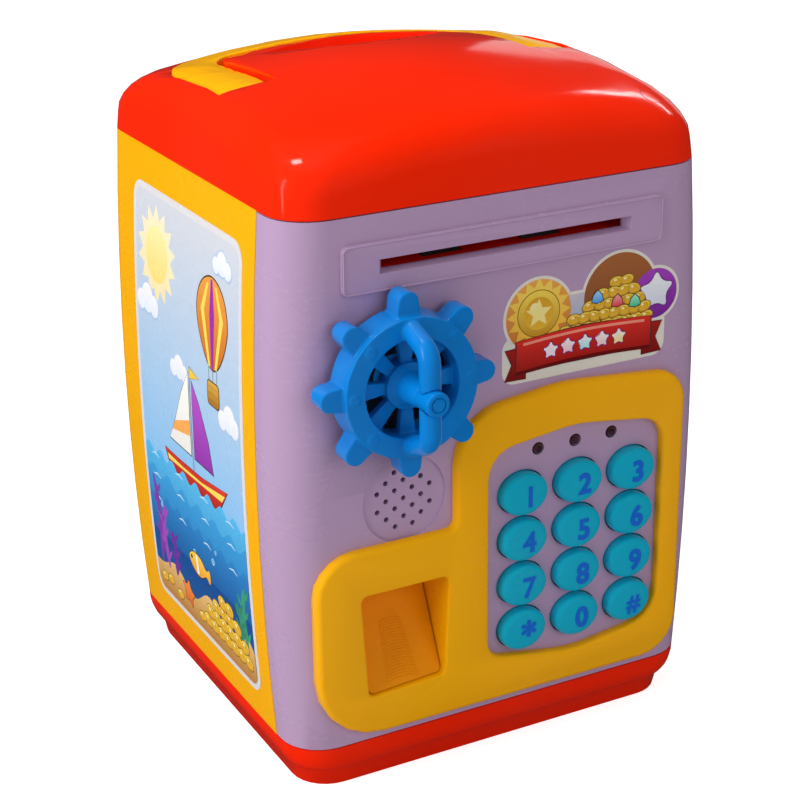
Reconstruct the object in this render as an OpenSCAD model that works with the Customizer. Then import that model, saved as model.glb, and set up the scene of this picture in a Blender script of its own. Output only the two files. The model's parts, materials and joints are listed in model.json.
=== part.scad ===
// Safe coin bank: a toy safe with a keypad door, a ship's wheel and a domed lid.
// Millimetres. Z is up, the door faces -Y, the origin is the middle of the footprint.

/* [Casing] */
// Height of the seam between base and casing
base_h = 14.3; // [14:0.1:14.6]
// Casing height from the base seam to the lid seam
body_h = 155.1; // [155:0.1:156.5]
// Width across the sides at the lid seam
body_w_top = 130; // [129:0.1:132]
// Width at mid height, where the sides bulge
body_w_mid = 137.3; // [135:0.1:139]
// Width at the base seam
body_w_foot = 132.1; // [131:0.1:134]
// Depth front to back at the lid seam
body_d_top = 131.7; // [131.2:0.1:132.2]
// Depth at mid height
body_d_mid = 129.2; // [128.8:0.1:129.6]
// Depth at the base seam
body_d_foot = 127.8; // [127.4:0.1:128.2]
// Radius of the upright corners
corner_r = 12.6; // [11:0.1:14]
// Wall of the casing and the door
wall = 2.4; // [2.2:0.1:2.5]
// Thickness of the cash floor and of the top deck
floor_t = 2.4; // [2:0.1:2.6]
// Inset of the foot below the rolled lip of the base
foot_inset = 4.3; // [3.5:0.1:5]

/* [Lid] */
// Height of the crown above the lid seam
crown_h = 27.47; // [26:0.1:30]
// Radius rolled round the edge of the dome
shoulder_r = 10.3; // [9:0.1:11]
// Wall of the lid
lid_wall = 2.2; // [1.8:0.1:2.4]
// Half length of the coin dish
dish_half = 29; // [26:0.5:31]
// Front and rear edge of the dish on its centre line
dish_y = [9.5, 30];
// Y of the dish's two pointed ends
dish_end_y = 25; // [24:0.5:26]
// Depth of the dish floor below the crown
dish_depth = 7.37; // [6:0.1:8.5]
// Length and width of the coin slot
coin_slot = [30, 5];
// Middle of the coin slot from front to back
coin_y = 20; // [19:0.1:21]

/* [Carry handle] */
// Inner face of each handle arm
arm_in = 42.5; // [42:0.1:44]
// Outer face of each handle arm
arm_out = 57; // [55:0.1:57.5]
// Front and rear edge of the cross bar
bar_y = [37, 52];
// Thickness of the handle
handle_t = 4.6; // [4.2:0.1:5]
// Depth of the handle's face below the dome
handle_sunk = 0.6; // [0.4:0.1:0.8]
// Radius of the handle's two rear corners
handle_r = 30; // [27:1:33]
// Handle pivot, front to back
pivot_y = -4; // [-6:0.5:-2]
// Depth of the pivot below the dome
pivot_drop = 4; // [3.8:0.1:4.2]

/* [Door] */
// Distance from the middle of the bank to the rear edge of the door
split = 48.4; // [48:0.1:49]
// Hinge axis, left to right
hinge_x = 54; // [53:0.1:54.5]
// Hinge axis, front to back
hinge_y = -53; // [-54:0.1:-52.5]
// Left and right edge of the raised slot panel
panel_x = [-49.8, 49.5];
// Lower and upper edge of the slot panel, measured from the middle of the note slot
panel_edge = [-6.9, 6.8];
// Height of the slot panel above the door
panel_t = 0.9; // [0.6:0.1:1.2]
// Half length of the note slot
note_half = 37.3; // [35:0.1:38]
// Distance from the lid seam down to the note slot
note_drop = 14.5; // [14:0.1:15]
// Width of the note slot
note_gap = 2.7; // [2:0.1:3]

/* [Keypad] */
// Middle of the keypad, left to right and height
pad_at = [23.34, 59.29];
// Distance between keys, across and up
key_pitch = [18.19, 14.31];
// Width and height of one key
key_size = [15, 12.8];
// Height of a key above the door
key_proud = 1.9; // [1.6:0.1:2.2]
// Travel of a key
key_travel = 1.2; // [0.8:0.1:1.3]
// Height of the bezel above the door
bezel_t = 2.8; // [2.2:0.1:3.2]
// Roll of the bezel's outer edge
bezel_roll = 1.6; // [1:0.1:2]
// The three status lights: left to right
light_x = [10.6, 22.9, 35.1];
// Height of the status lights above the floor
light_z = 92.9; // [92:0.1:94]
// Diameter of the light windows
light_d = 3.8; // [3.4:0.1:4.2]

/* [Speaker] */
// Middle of the speaker, left to right and height
speaker_at = [-31.9, 87];
// Radius of the round recess
grille_r = 12.8; // [12:0.1:13.5]
// Half the distance between grille holes of one row
grille_pitch = 2.7; // [2.5:0.05:2.8]
// Diameter of the grille holes
grille_d = 1.5; // [1:0.1:1.8]

/* [Wheel] */
// Wheel axis, left to right
wheel_x = -34.8; // [-36:0.1:-34]
// Distance from the lid seam down to the wheel axis
wheel_drop = 45.7; // [45:0.1:46.5]
// Outer and inner radius of the rim
rim_r = [20.2, 13.8];
// Rear and front of the rim, measured from the door
rim_h = [5, 11.2];
// Radius at the tips of the eight knobs
knob_tip_r = 26.4; // [26:0.1:27]
// Radius of a knob where it leaves the rim, and behind its rounded tip
knob_r = [3.5, 3.3];
// Radius of the hub
hub_r = 6.5; // [6:0.1:7]
// Height of the cap in front of the door
cap_h = 25; // [24:0.1:26]
// Diameter of the grip bar
grip_d = 5.9; // [5.5:0.1:6.2]
// Height of the grip bar's straight middle in front of the door
grip_h = 20.3; // [19.8:0.1:21]
// Radius of the steel shaft
shaft_r = 3; // [2.6:0.1:3.2]

/* [Battery bay and switch] */
// Diameter and length of one cell
cell = [14.5, 50.5];
// Middle of the battery bay, front to back
bay_y = 16; // [15:0.1:17]
// Travel of the switch knob
switch_travel = 4; // [3:0.1:4]

/* [Clearances] */
// Gap between a moving piece and its neighbour
gap = 0.35; // [0.3:0.05:0.45]
// Radial clearance of a shaft in its bearing
fit = 0.05; // [0.03:0.01:0.08]
// Radial clearance of a screw or pin that stays put
snug = 0.03; // [0.02:0.01:0.05]

/* [Hidden] */
$fn = 48;
corner_steps = 7;
arc_steps = 5;
levels = 8;
lid_z = base_h + body_h;
note_z = lid_z - note_drop;
wheel_at = [wheel_x, lid_z - wheel_drop];
dish_floor_z = lid_z + crown_h - dish_depth;
top_w = body_w_top/2;
top_d = body_d_top/2;
lid_draft = 0.4;
yellow = [0.98, 0.74, 0.05];
red = [0.93, 0.16, 0.05];
lilac = [0.76, 0.71, 0.82];
blue = [0.05, 0.5, 0.88];
teal = [0.1, 0.68, 0.76];
dark = [0.13, 0.13, 0.14];
steel = [0.75, 0.76, 0.78];
brass = [0.8, 0.65, 0.3];
green = [0.1, 0.42, 0.24];

// Curves of the casing
function through(a, m, b, s) = a*(1 - s)*(1 - 2*s) + 4*m*s*(1 - s) + b*s*(2*s - 1);
function level(z) = (lid_z - z)/body_h;
function half_w(z) = through(body_w_top, body_w_mid, body_w_foot, level(z))/2;
function half_d(z) = through(body_d_top, body_d_mid, body_d_foot, level(z))/2;
function way(a) = [cos(a), sin(a)];

// Rounded rectangle as points, with n steps along each straight side
function corner(q, hw, hd, r) = [(q%4 == 0 || q%4 == 3 ? 1 : -1)*(hw - r), (q%4 < 2 ? 1 : -1)*(hd - r)];
function loop(hw, hd, r, n = 1) = [for (q = [0:3], i = [0:corner_steps + n - 1])
    let (c = corner(q, hw, hd, r), next = corner(q + 1, hw, hd, r), t = (i - corner_steps)/n)
    i <= corner_steps ? c + r*way(90*(q + i/corner_steps)) : c + (next - c)*t + r*way(90*(q + 1))];
function lift(p, z) = [for (c = p) [c.x, c.y, z]];

// Rounded outline as points from corners [x, z, radius], counter-clockwise, moved in by d
function inward(v, i) = let (e = v[(i + 1)%len(v)] - v[i]) [-e.y, e.x]/norm([e.x, e.y]);
function trace(v, d = 0) = [for (i = [0:len(v) - 1], k = [0:arc_steps])
    let (a = inward(v, (i + len(v) - 1)%len(v)), b = inward(v, i), turn = atan2(cross(a, b), a*b),
        side = turn > 0 ? 1 : -1, r = max(v[i][2] - side*d, 0.05),
        c = [v[i][0], v[i][1]] + (a + b)/(1 + a*b)*(d + side*r))
    c - side*r*way(atan2(a.y, a.x) + turn*k/arc_steps)];

// Closed solid through rings of points, first ring to last, with flat ends or ends fanned from two points
module skin(rings, ends = []) {
    n = len(rings[0]);
    all = [for (j = [0:n - 1]) j];
    top = (len(rings) - 1)*n;
    low = len(rings)*n;
    polyhedron(
        points = [for (r = concat(rings, [ends])) each r],
        faces = concat(
            ends ? [for (j = all) [low, j, (j + 1)%n]] : [all],
            ends ? [for (j = all) [low + 1, top + (j + 1)%n, top + j]] : [[for (j = all) top + n - 1 - j]],
            [for (k = [0:len(rings) - 2], j = [0:n - 1], f = [0:1])
                let (a = k*n + j, b = k*n + (j + 1)%n)
                f == 0 ? [a, a + n, b + n] : [a, b + n, b]]));
}

module along_y(y0, y1) translate([0, y1, 0]) rotate([90, 0, 0]) linear_extrude(y1 - y0) children();
module along_x(x0, x1) translate([x0, 0, 0]) rotate([90, 0, 90]) linear_extrude(x1 - x0) children();
module rod_y(x, z, r, y0, y1) along_y(y0, y1) translate([x, z]) circle(r);
module rod_x(y, z, r, x0, x1) along_x(x0, x1) translate([y, z]) circle(r);
module block(a, b) translate(a) cube(b - a);

module rounded_rect(a, b, r) {
    translate([a.x + r, a.y]) square([b.x - a.x - 2*r, b.y - a.y]);
    translate([a.x, a.y + r]) square([b.x - a.x, b.y - a.y - 2*r]);
    for (x = [a.x + r, b.x - r], y = [a.y + r, b.y - r]) translate([x, y]) circle(r);
}

// The bulging casing between two heights, grown by g
module casing(g, z0, z1) {
    skin([for (i = [0:levels]) let (z = z0 + (z1 - z0)*i/levels)
        lift(loop(half_w(z) + g, half_d(z) + g, corner_r + g), z)]);
}

// The dome
function dome(x, y) = let (u = x/50, v = y/50)
    lid_z + crown_h - 5.76*u^2 + 1.46*u^4 + 0.12*u^2*v - 0.44*v - 5.29*v^2 + 0.36*v^4;
function dome_ring(e, drop) =
    let (r = min(corner_r + 0.6*max(e, 0), 0.92*(min(top_w, top_d) - e)))
    [for (p = loop(top_w - e, top_d - e, r, 4)) [p.x, p.y, dome(p.x, p.y) - drop]];
inner_steps = [4, 9, 15, 22, 30, 39, 47];

// The outside of the lid, or its inside at wall t
module lid_form(t, z0) {
    r = shoulder_r - t;
    edge = lid_draft + t;
    skin(concat(
        [lift(loop(top_w - t, top_d - t, corner_r - t, 4), z0)],
        [for (a = [0:15:90]) dome_ring(edge + r*(1 - cos(a)), t + r*(1 - sin(a)))],
        [for (e = inner_steps) dome_ring(edge + r + e, t)]), [[0, 0, z0], [0, 0, dome(0, 0) - t]]);
}

// Everything below a surface that lies k under the dome
module under_dome(k) {
    skin(concat(
        [lift(loop(top_w + 3, top_d + 3, corner_r, 4), lid_z - 3)],
        [for (e = [-3, 4, 11, 19, 28, 38, 48, 57]) dome_ring(e, k)]),
        [[0, 0, lid_z - 3], [0, 0, dome(0, 0) - k]]);
}

// Places on the fixed body
base_screw_x = 56;
base_screw_y = [-30, 50];
lid_screw_x = 48;
lid_screw_y = [-36, 44];
screw_r = 1.5;
boss_r = 4;
pin_r = 1.5;
bay_half = 29;
bay_d = 46;
bay_roof_z = 19.2;
hump_gap = 0.4;
cover_half = [33, 29];
cover_t = 2;
chute_in = [32, 5.4];
chute_wall = 1.8;
chute_z = [lid_z - 6.4, dish_floor_z - 2];
catch_x = [0.9 - half_w(wheel_at.y), 9.9 - half_w(wheel_at.y)];
catch_y = [-46.2, -43.4];
catch_z = [wheel_at.y - 7.7, wheel_at.y + 7.3];
lower_pin = [6, base_h + 6.7];
upper_pin = [lid_z - 7.4, lid_z + 8.6];
screw_seat = 6;
knob_w = 4.4;
switch_slot = (knob_w + switch_travel)/2 + gap;

// Rolled section of the base: height against inset
base_profile = [[0, foot_inset], [5, 3.4], [6.2, 2.2], [7.8, 1.2], [9.8, 0.5], [12, 0.1], [base_h, 0]];

module base_form(t) {
    w = half_w(base_h);
    d = half_d(base_h);
    skin([for (p = base_profile) lift(loop(w - p[1] - t, d - p[1] - t, corner_r - 0.3*p[1] - t), p[0])]);
}

// Room swept by the door's hinged edge
module hinge_sweep() {
    n = 12;
    translate([hinge_x, hinge_y, 0]) rotate_extrude() polygon(concat(
        [[0, base_h - 1]],
        [for (i = [0:n]) let (z = base_h - 1 + (body_h + 2)*i/n)
            [norm([half_w(z) - hinge_x, split + hinge_y]) + gap, z]],
        [[0, lid_z + 1]]));
}

// Block of the chute's inner outline, grown by g
module chute_box(g, z0, z1) {
    block([-chute_in.x/2 - g, coin_y - chute_in.y/2 - g, z0], [chute_in.x/2 + g, coin_y + chute_in.y/2 + g, z1]);
}

module body_shell() color(yellow) {
    difference() {
        union() {
            difference() {
                casing(0, base_h, lid_z);
                casing(-wall, base_h + floor_t, lid_z - floor_t);
            }
            for (s = [-1, 1], y = base_screw_y)
                translate([s*base_screw_x, y, base_h + floor_t/2]) cylinder(h = 12.5, r = boss_r);
            block([catch_x[0], catch_y[0], catch_z[0]], [catch_x[1], catch_y[1], catch_z[1]]);
        }
        block([-90, -90, base_h - 1], [90, -split, lid_z + 1]);
        hinge_sweep();
        translate([-bay_half - 2 - hump_gap, bay_y - bay_d/2 - 2 - hump_gap, base_h - 1])
            cube([2*(bay_half + 2 + hump_gap), bay_d + 4 + 2*hump_gap, floor_t + 2]);
        for (s = [-1, 1], y = base_screw_y)
            translate([s*base_screw_x, y, base_h - 1]) cylinder(h = 12.7, r = screw_r + snug);
        for (s = [-1, 1], y = lid_screw_y)
            translate([s*lid_screw_x, y, lid_z - floor_t - 1]) cylinder(h = floor_t + 2, r = screw_r + 0.2);
        chute_box(chute_wall + hump_gap, lid_z - floor_t - 1, lid_z + 1);
    }
}

module base_tray() color(red) {
    y0 = bay_y - bay_d/2;
    difference() {
        union() {
            difference() {
                base_form(0);
                intersection() {
                    base_form(wall);
                    block([-90, -90, wall], [90, 90, base_h + 1]);
                }
            }
            // rim that closes the tray on the cover's ledge
            block([-cover_half.x - 2, y0 - 6, 1], [cover_half.x + 2, y0 + bay_d + 10, 2 + wall]);
            block([-bay_half - 2, y0 - 2, 1], [bay_half + 2, y0 + bay_d + 2, bay_roof_z]);
            for (s = [-1, 1], y = base_screw_y) translate([s*base_screw_x, y, 0.5])
                cylinder(h = base_h - 0.5, r = boss_r);
            translate([hinge_x, hinge_y, 1]) cylinder(h = base_h - 1, r = boss_r);
            translate([0, y0 + bay_d + 5, 1]) cylinder(h = 8, r = 3.5);
        }
        block([-bay_half, y0, -1], [bay_half, y0 + bay_d, bay_roof_z - 1.6]);
        block([-cover_half.x - 0.2, y0 - 4.2, -1], [cover_half.x + 0.2, y0 + bay_d + 8.2, cover_t]);
        translate([0, y0 + bay_d + 5, 0]) cylinder(h = 8, r = 1.25 + snug);
        for (s = [-1, 1], y = base_screw_y) translate([s*base_screw_x, y, -1]) {
            cylinder(h = screw_seat + 1, r = 2.9);
            cylinder(h = base_h + 2, r = screw_r + 0.2);
        }
        translate([hinge_x, hinge_y, lower_pin[0]]) cylinder(h = base_h, r = pin_r + snug);
        block([-switch_slot, -32.25, -1], [switch_slot, -27.75, wall + 1]);
    }
}

island_r = 10;
module handle_plan(grow) {
    r = handle_r + grow;
    difference() {
        union() {
            translate([-arm_out - grow, pivot_y]) square([2*(arm_out + grow), bar_y[1] + grow - r - pivot_y]);
            translate([-arm_out - grow + r, pivot_y])
                square([2*(arm_out + grow - r), bar_y[1] + grow - pivot_y]);
            for (s = [-1, 1]) translate([s*(arm_out + grow - r), bar_y[1] + grow - r]) circle(r);
        }
        children();
    }
}
module handle_island(grow) {
    rounded_rect([-arm_in + grow, -30], [arm_in - grow, bar_y[0] - grow], island_r - grow);
}
pivot_z = dome((arm_in + arm_out)/2, pivot_y) - pivot_drop;
eye_r = 4.6;
pocket_in = 2;

module both_arms(r, x0, x1) for (s = [-1, 1]) rod_x(pivot_y, pivot_z, r, s > 0 ? x0 : -x1, s > 0 ? x1 : -x0);

module lid_pocket() {
    difference() {
        translate([0, 0, lid_z + 4]) linear_extrude(40) union() {
            handle_plan(0.5) handle_island(pocket_in);
            for (s = [-1, 1]) translate([s > 0 ? arm_in - pocket_in : -arm_out - 0.5, pivot_y - eye_r - 0.4])
                square([arm_out - arm_in + pocket_in + 0.5, eye_r + 1]);
        }
        under_dome(handle_sunk + handle_t + 1);
    }
    both_arms(eye_r + 0.4, arm_in - pocket_in, arm_out + 0.5);
}

module lid_pocket_wall() {
    difference() {
        translate([0, 0, lid_z + 2]) linear_extrude(40) union() {
            handle_plan(2.3) handle_island(pocket_in + 1.8);
            for (s = [-1, 1]) translate([s > 0 ? arm_in - pocket_in - 1.8 : -arm_out - 2.3, pivot_y - eye_r - 2.2])
                square([arm_out - arm_in + pocket_in + 4.1, eye_r + 3]);
        }
        under_dome(handle_sunk + handle_t + 3);
    }
    both_arms(eye_r + 2.2, arm_in - pocket_in - 1.8, arm_out + 2.3);
}

// Lens between two arcs through the ends of the dish
function arc_r(h, s) = (h*h + s*s)/(2*s);
module dish_plan(grow) {
    front = arc_r(dish_half, dish_end_y - dish_y[0]);
    rear = arc_r(dish_half, dish_y[1] - dish_end_y);
    intersection() {
        translate([0, dish_y[0] + front]) circle(front + grow, $fn = 96);
        translate([0, dish_y[1] - rear]) circle(rear + grow, $fn = 180);
    }
}

module lid_cover() color(red) {
    difference() {
        lid_form(0, lid_z);
        // hollow, less the housings that stand in it
        difference() {
            lid_form(lid_wall, lid_z - 1);
            lid_pocket_wall();
            translate([0, 0, dish_floor_z - 2]) linear_extrude(30) dish_plan(2);
            for (s = [-1, 1], y = lid_screw_y) translate([s*lid_screw_x, y, lid_z - 2])
                cylinder(h = y > 0 ? 14 : 30, r = boss_r);
            translate([hinge_x, hinge_y, lid_z - 2]) cylinder(h = 30, r = boss_r);
        }
        lid_pocket();
        translate([0, 0, dish_floor_z]) linear_extrude(30) dish_plan(0);
        translate([-coin_slot.x/2, coin_y - coin_slot.y/2, dish_floor_z - 4])
            cube([coin_slot.x, coin_slot.y, 8]);
        for (s = [-1, 1], y = lid_screw_y)
            translate([s*lid_screw_x, y, lid_z - 1]) cylinder(h = 10, r = screw_r + snug);
        translate([hinge_x, hinge_y, lid_z - 1]) cylinder(h = upper_pin[1] - lid_z + 1, r = pin_r + snug);
        both_arms(pin_r + snug, arm_in - pocket_in - 1.9, arm_out + 1.5);
    }
}

module coin_chute() color(red) difference() {
    chute_box(chute_wall, chute_z[0], chute_z[1]);
    chute_box(0, chute_z[0] - 1, chute_z[1] + 1);
}

module carry_handle() color(yellow) {
    difference() {
        intersection() {
            lid_form(handle_sunk, lid_z);
            union() {
                difference() {
                    translate([0, 0, lid_z + 3]) linear_extrude(40) handle_plan(0) handle_island(0);
                    under_dome(handle_sunk + handle_t);
                }
                both_arms(eye_r, arm_in, arm_out);
            }
        }
        both_arms(pin_r + fit, arm_in - 1, arm_out + 1);
    }
}

module handle_pins() color(steel) both_arms(pin_r, arm_in - pocket_in - 1.6, arm_out + 1.2);

label = [[-40.5, base_h + 8.4], [40.5, lid_z - 10.9]];
module side_label() color([0.55, 0.8, 0.95]) difference() {
    intersection() {
        casing(0.2, base_h, lid_z);
        along_x(-80, -50) rounded_rect(label[0], label[1], 6);
    }
    casing(0, base_h, lid_z);
}

module screw(l, r = screw_r, head = 2.7) {
    cylinder(h = l, r = r);
    difference() {
        translate([0, 0, -1.8]) cylinder(h = 1.8, r = head);
        for (a = [0, 90]) rotate(a) translate([-head*0.65, -0.4, -2]) cube([head*1.3, 0.8, 1]);
    }
}

module lid_screws() color(steel) for (s = [-1, 1], y = lid_screw_y)
    translate([s*lid_screw_x, y, lid_z - floor_t]) screw(floor_t + 8);

module base_screws() color(steel) for (s = [-1, 1], y = base_screw_y)
    translate([s*base_screw_x, y, screw_seat]) screw(18);

module hinge_pins() color(steel) {
    for (p = [lower_pin, upper_pin]) translate([hinge_x, hinge_y, p[0]]) cylinder(h = p[1] - p[0], r = pin_r);
}

module battery_cover() color(red) {
    y0 = bay_y - bay_d/2;
    difference() {
        union() {
            block([-cover_half.x, y0 - 4, 0], [cover_half.x, y0 + bay_d + 8, cover_t]);
            for (x = [-18, 0, 18])
                block([x - 1, y0 + 1, cover_t - 0.5], [x + 1, y0 + bay_d - 1, cover_t + 0.6]);
        }
        for (k = [0:5]) block([-20, y0 - 1 + 1.6*k, -1], [20, y0 - 0.4 + 1.6*k, 0.5]);
        translate([0, y0 + bay_d + 5, -1]) cylinder(h = 4, r = 1.5);
        translate([0, y0 + bay_d + 5, -1]) cylinder(h = 2, r = 2.6);
    }
}

module battery_screw() color(steel) translate([0, bay_y + bay_d/2 + 5, 0]) {
    translate([0, 0, 1]) cylinder(h = 6, r = 1.25);
    difference() {
        translate([0, 0, 0.2]) cylinder(h = 0.8, r = 2.3);
        for (a = [0, 90]) rotate(a) translate([-1.5, -0.3, 0]) cube([3, 0.6, 0.5]);
    }
}

cell_z = cover_t + 0.6 + cell[0]/2;
cell_pitch = 15.2;
module battery_cells() color([0.25, 0.3, 0.34]) for (k = [-1, 0, 1]) {
    s = k == 0 ? -1 : 1;
    y = bay_y + k*cell_pitch;
    rod_x(y, cell_z, cell[0]/2, s > 0 ? -cell[1]/2 : -cell[1]/2 + 1.5, s > 0 ? cell[1]/2 - 1.5 : cell[1]/2);
    rod_x(y, cell_z, 2.7, s > 0 ? cell[1]/2 - 1.6 : -cell[1]/2, s > 0 ? cell[1]/2 : -cell[1]/2 + 1.6);
}

module battery_contacts() color(steel) for (k = [-1, 0, 1], s = [-1, 1]) {
    y = bay_y + k*cell_pitch;
    block([s > 0 ? bay_half - 0.5 : -bay_half, y - 5, cell_z - 5],
        [s > 0 ? bay_half : -bay_half + 0.5, y + 5, cell_z + 5]);
    rod_x(y, cell_z, 2.6, s > 0 ? cell[1]/2 : -bay_half + 0.2, s > 0 ? bay_half - 0.2 : -cell[1]/2);
}

module switch_body() color(dark) difference() {
    block([-9.8, -34, wall], [9.8, -26, wall + 5]);
    block([-switch_slot, -32.25, 0], [switch_slot, -27.75, wall + 2.2]);
}

module switch_knob() color(dark) {
    difference() {
        block([gap - switch_slot, -31.9, 0.5], [gap - switch_slot + knob_w, -28.1, 4.2]);
        for (k = [0:2]) block([1.1 + 1.2*k - switch_slot, -33, 0], [1.6 + 1.2*k - switch_slot, -27, 0.9]);
    }
}

// Lower and upper edge of the door
front_z0 = base_h + gap;
front_z1 = lid_z - gap;

// Outlines on the door: corners [x, z, radius]
bezel_line = [[-60.4, 17.2, 20], [58.8, 17.2, 12], [58.8, 108.6, 10], [18, 112.2, 60], [-17, 108.3, 16],
    [-17, 75.2, 2.5], [-60.4, 75.2, 12]];
field_line = [[-6.6, 31.6, 6], [22, 26.6, 40], [51.4, 30.5, 12], [51.6, 94.6, 8], [22, 98.9, 40],
    [-6.6, 95.5, 9]];
well_line = [[-45, 29.4, 2], [-21, 30.5, 2], [-19.5, 61.4, 2], [-47, 61.4, 2]];
well_wall = 1.6;
well_rear = -50;
bezel_z = [17, 113];
function bezel_y(z) = -bezel_t - half_d(bezel_z[0])
    - (half_d(bezel_z[1]) - half_d(bezel_z[0]))*(z - bezel_z[0])/(bezel_z[1] - bezel_z[0]);
function stand(p, d) = [for (c = p) [c.x, bezel_y(c.y) + d, c.y]];
function stand_flat(p, y) = [for (c = p) [c.x, y, c.y]];
roll_steps = [0, 30, 60, 90];

// Plate with a rolled front edge; eye is a point that sees the whole outline
module rolled_plate(line, roll, rear, eye) {
    skin(concat([stand_flat(trace(line), rear)],
        [for (a = roll_steps) stand(trace(line, roll*(1 - cos(a))), roll*(1 - sin(a)))]),
        [[eye.x, rear, eye.y], [eye.x, bezel_y(eye.y), eye.y]]);
}

// Opening whose front edge is rolled outwards
module rolled_hole(line, roll, rear, eye) {
    skin(concat([stand_flat(trace(line), rear)],
        [for (a = roll_steps) stand(trace(line, -roll*(1 - cos(a))), roll*(1 - sin(a)))],
        [stand(trace(line, -roll), -2)]), [[eye.x, rear, eye.y], [eye.x, bezel_y(eye.y) - 2, eye.y]]);
}

module door_bezel() color(yellow) {
    difference() {
        union() {
            difference() {
                rolled_plate(bezel_line, bezel_roll, -58, [5, 45]);
                casing(0, front_z0, front_z1);
                rolled_hole(field_line, 1.2, -56, pad_at);
            }
            along_y(well_rear - 14.5, well_rear) polygon(trace(well_line, -well_wall));
        }
        rolled_hole(well_line, 0.8, well_rear + 1, [-33, 45]);
    }
}

door_rear = -split - gap;
wheel_face = -half_d(wheel_at.y);
key_names = ["1", "2", "3", "4", "5", "6", "7", "8", "9", "star", "0", "hash"];
function key_x(i) = pad_at.x + key_pitch.x*(i%3 - 1);
function key_z(i) = pad_at.y + key_pitch.y*(1.5 - floor(i/3));
module oval(grow) scale([1, (key_size.y/2 + grow)/(key_size.x/2 + grow)]) circle(key_size.x/2 + grow, $fn = 36);
plate_top = note_z - 15.4;
screw_spots = [[-55, 24], [-54, plate_top - 6.5], [12, 105], [56, 112], [-12, 21]];
board = [[-8, 24], [49.5, 101]];
board_front = -57.4;
board_t = 1.6;
mat_h = 1.5;
board_posts = [[-5, 27], [46.5, 27], [46.5, 98], [-5, 98]];
feeder_flange_y = -62.85;

module door_shell() color(lilac) {
    difference() {
        union() {
            difference() {
                union() {
                    casing(0, front_z0, front_z1);
                    intersection() {
                        casing(panel_t, front_z0, front_z1);
                        along_y(-80, -55) translate([0, note_z])
                            rounded_rect([panel_x[0], panel_edge[0]], [panel_x[1], panel_edge[1]], 2);
                    }
                }
                casing(-wall, front_z0 + 2, front_z1 - 2);
            }
            translate([hinge_x, hinge_y, front_z0 + 0.5]) cylinder(h = 8, r = boss_r);
            translate([hinge_x, hinge_y, front_z1 - 8.5]) cylinder(h = 8, r = boss_r);
            rod_y(wheel_at.x, wheel_at.y, 6, wheel_face + 1.5, wheel_face + 6);
            difference() {
                rod_y(speaker_at.x, speaker_at.y, 15.4, -half_d(speaker_at.y) + 1.5, -61);
                rod_y(speaker_at.x, speaker_at.y, 13.6, -half_d(speaker_at.y) + 1, -60);
            }
            intersection() {
                casing(-0.5, front_z0, front_z1);
                for (p = screw_spots) rod_y(p.x, p.y, 3.2, -65, -split - gap);
            }
        }
        block([-90, door_rear, 0], [90, 90, 200]);
        // note slot with bevelled mouth
        block([-note_half, -80, note_z - note_gap/2], [note_half, -50, note_z + note_gap/2]);
        hull() {
            block([-note_half, -64, note_z - note_gap/2], [note_half, -63.9, note_z + note_gap/2]);
            block([-note_half - 2.6, -68, note_z - note_gap/2 - 1],
                [note_half + 2.6, -67.9, note_z + note_gap/2 + 1]);
        }
        for (i = [0:11]) along_y(-70, -58) translate([key_x(i), key_z(i)]) oval(gap);
        for (x = light_x) rod_y(x, light_z, light_d/2, -70, -58);
        rod_y(speaker_at.x, speaker_at.y, grille_r, -80, -half_d(speaker_at.y) + 0.7);
        for (i = [-3:3], j = [-3:3]) if ((i + j)%2 == 0 && i*i + j*j <= 10)
            rod_y(speaker_at.x + i*grille_pitch, speaker_at.y + j*grille_pitch, grille_d/2, -80, -58, $fn = 20);
        along_y(-75, -50) polygon(trace(well_line, -well_wall - 0.15));
        rod_y(wheel_at.x, wheel_at.y, shaft_r + fit, -80, -50);
        translate([hinge_x, hinge_y, 0]) cylinder(h = lower_pin[1] + 0.5, r = pin_r + fit);
        translate([hinge_x, hinge_y, upper_pin[0] - 0.5]) cylinder(h = 20, r = pin_r + fit);
        for (p = screw_spots) rod_y(p.x, p.y, screw_r - 0.25 + snug, -60.5, -40);
    }
}

// Shafts of the note feeder and its motor
feed_y = -52.5;
feed_z = note_z - 4.7;
pinch_z = note_z + 4.85;
gear_x = [46, 49];
gear_mod = 0.7;
drive_teeth = 14;
feed_teeth = 26;
gear_dist = gear_mod*(drive_teeth + feed_teeth)/2;
motor_y = feed_y - 3.2;
motor_z = feed_z - sqrt(gear_dist*gear_dist - (motor_y - feed_y)*(motor_y - feed_y));
motor_mid = -56.2;
motor_r = 6;
motor_flat = 5;

plate_front = door_rear;
plate_rear = plate_front + 2;
bump = [[-50, 26], [-16, 66]];
module door_back() color(lilac) {
    difference() {
        union() {
            intersection() {
                casing(-wall - 0.8, base_h + floor_t + 0.8, plate_top);
                block([-90, plate_front, 0], [90, plate_rear, 200]);
            }
            block([bump[0].x, plate_rear - 1, bump[0].y], [bump[1].x, -42, bump[1].y]);
            for (p = board_posts) rod_y(p.x, p.y, 2.5, board_front + board_t, plate_front + 0.5);
            for (x = [-19, -5]) rod_y(x, wheel_at.y, 2.5, -51, plate_front + 0.5);
            for (x = [22, 40]) rod_y(x, motor_z, 2.5, motor_mid + motor_flat, plate_front + 0.5);
        }
        block([bump[0].x + 1.6, plate_front - 1, bump[0].y + 1.6], [bump[1].x - 1.6, -43.6, bump[1].y - 1.6]);
        rod_y(wheel_at.x, wheel_at.y, shaft_r + 0.4, -60, -40);
        for (p = screw_spots) rod_y(p.x, p.y, screw_r - 0.1, -60, -40);
    }
    for (x = [-46, -20], z = [30, 62]) rod_y(x, z, 1.8, -44.6, -43.2);
}

module door_screws() color(steel) for (p = screw_spots)
    translate([p.x, plate_rear, p.y]) rotate([90, 0, 0]) screw(12, screw_r - 0.25, 2.5);

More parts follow.
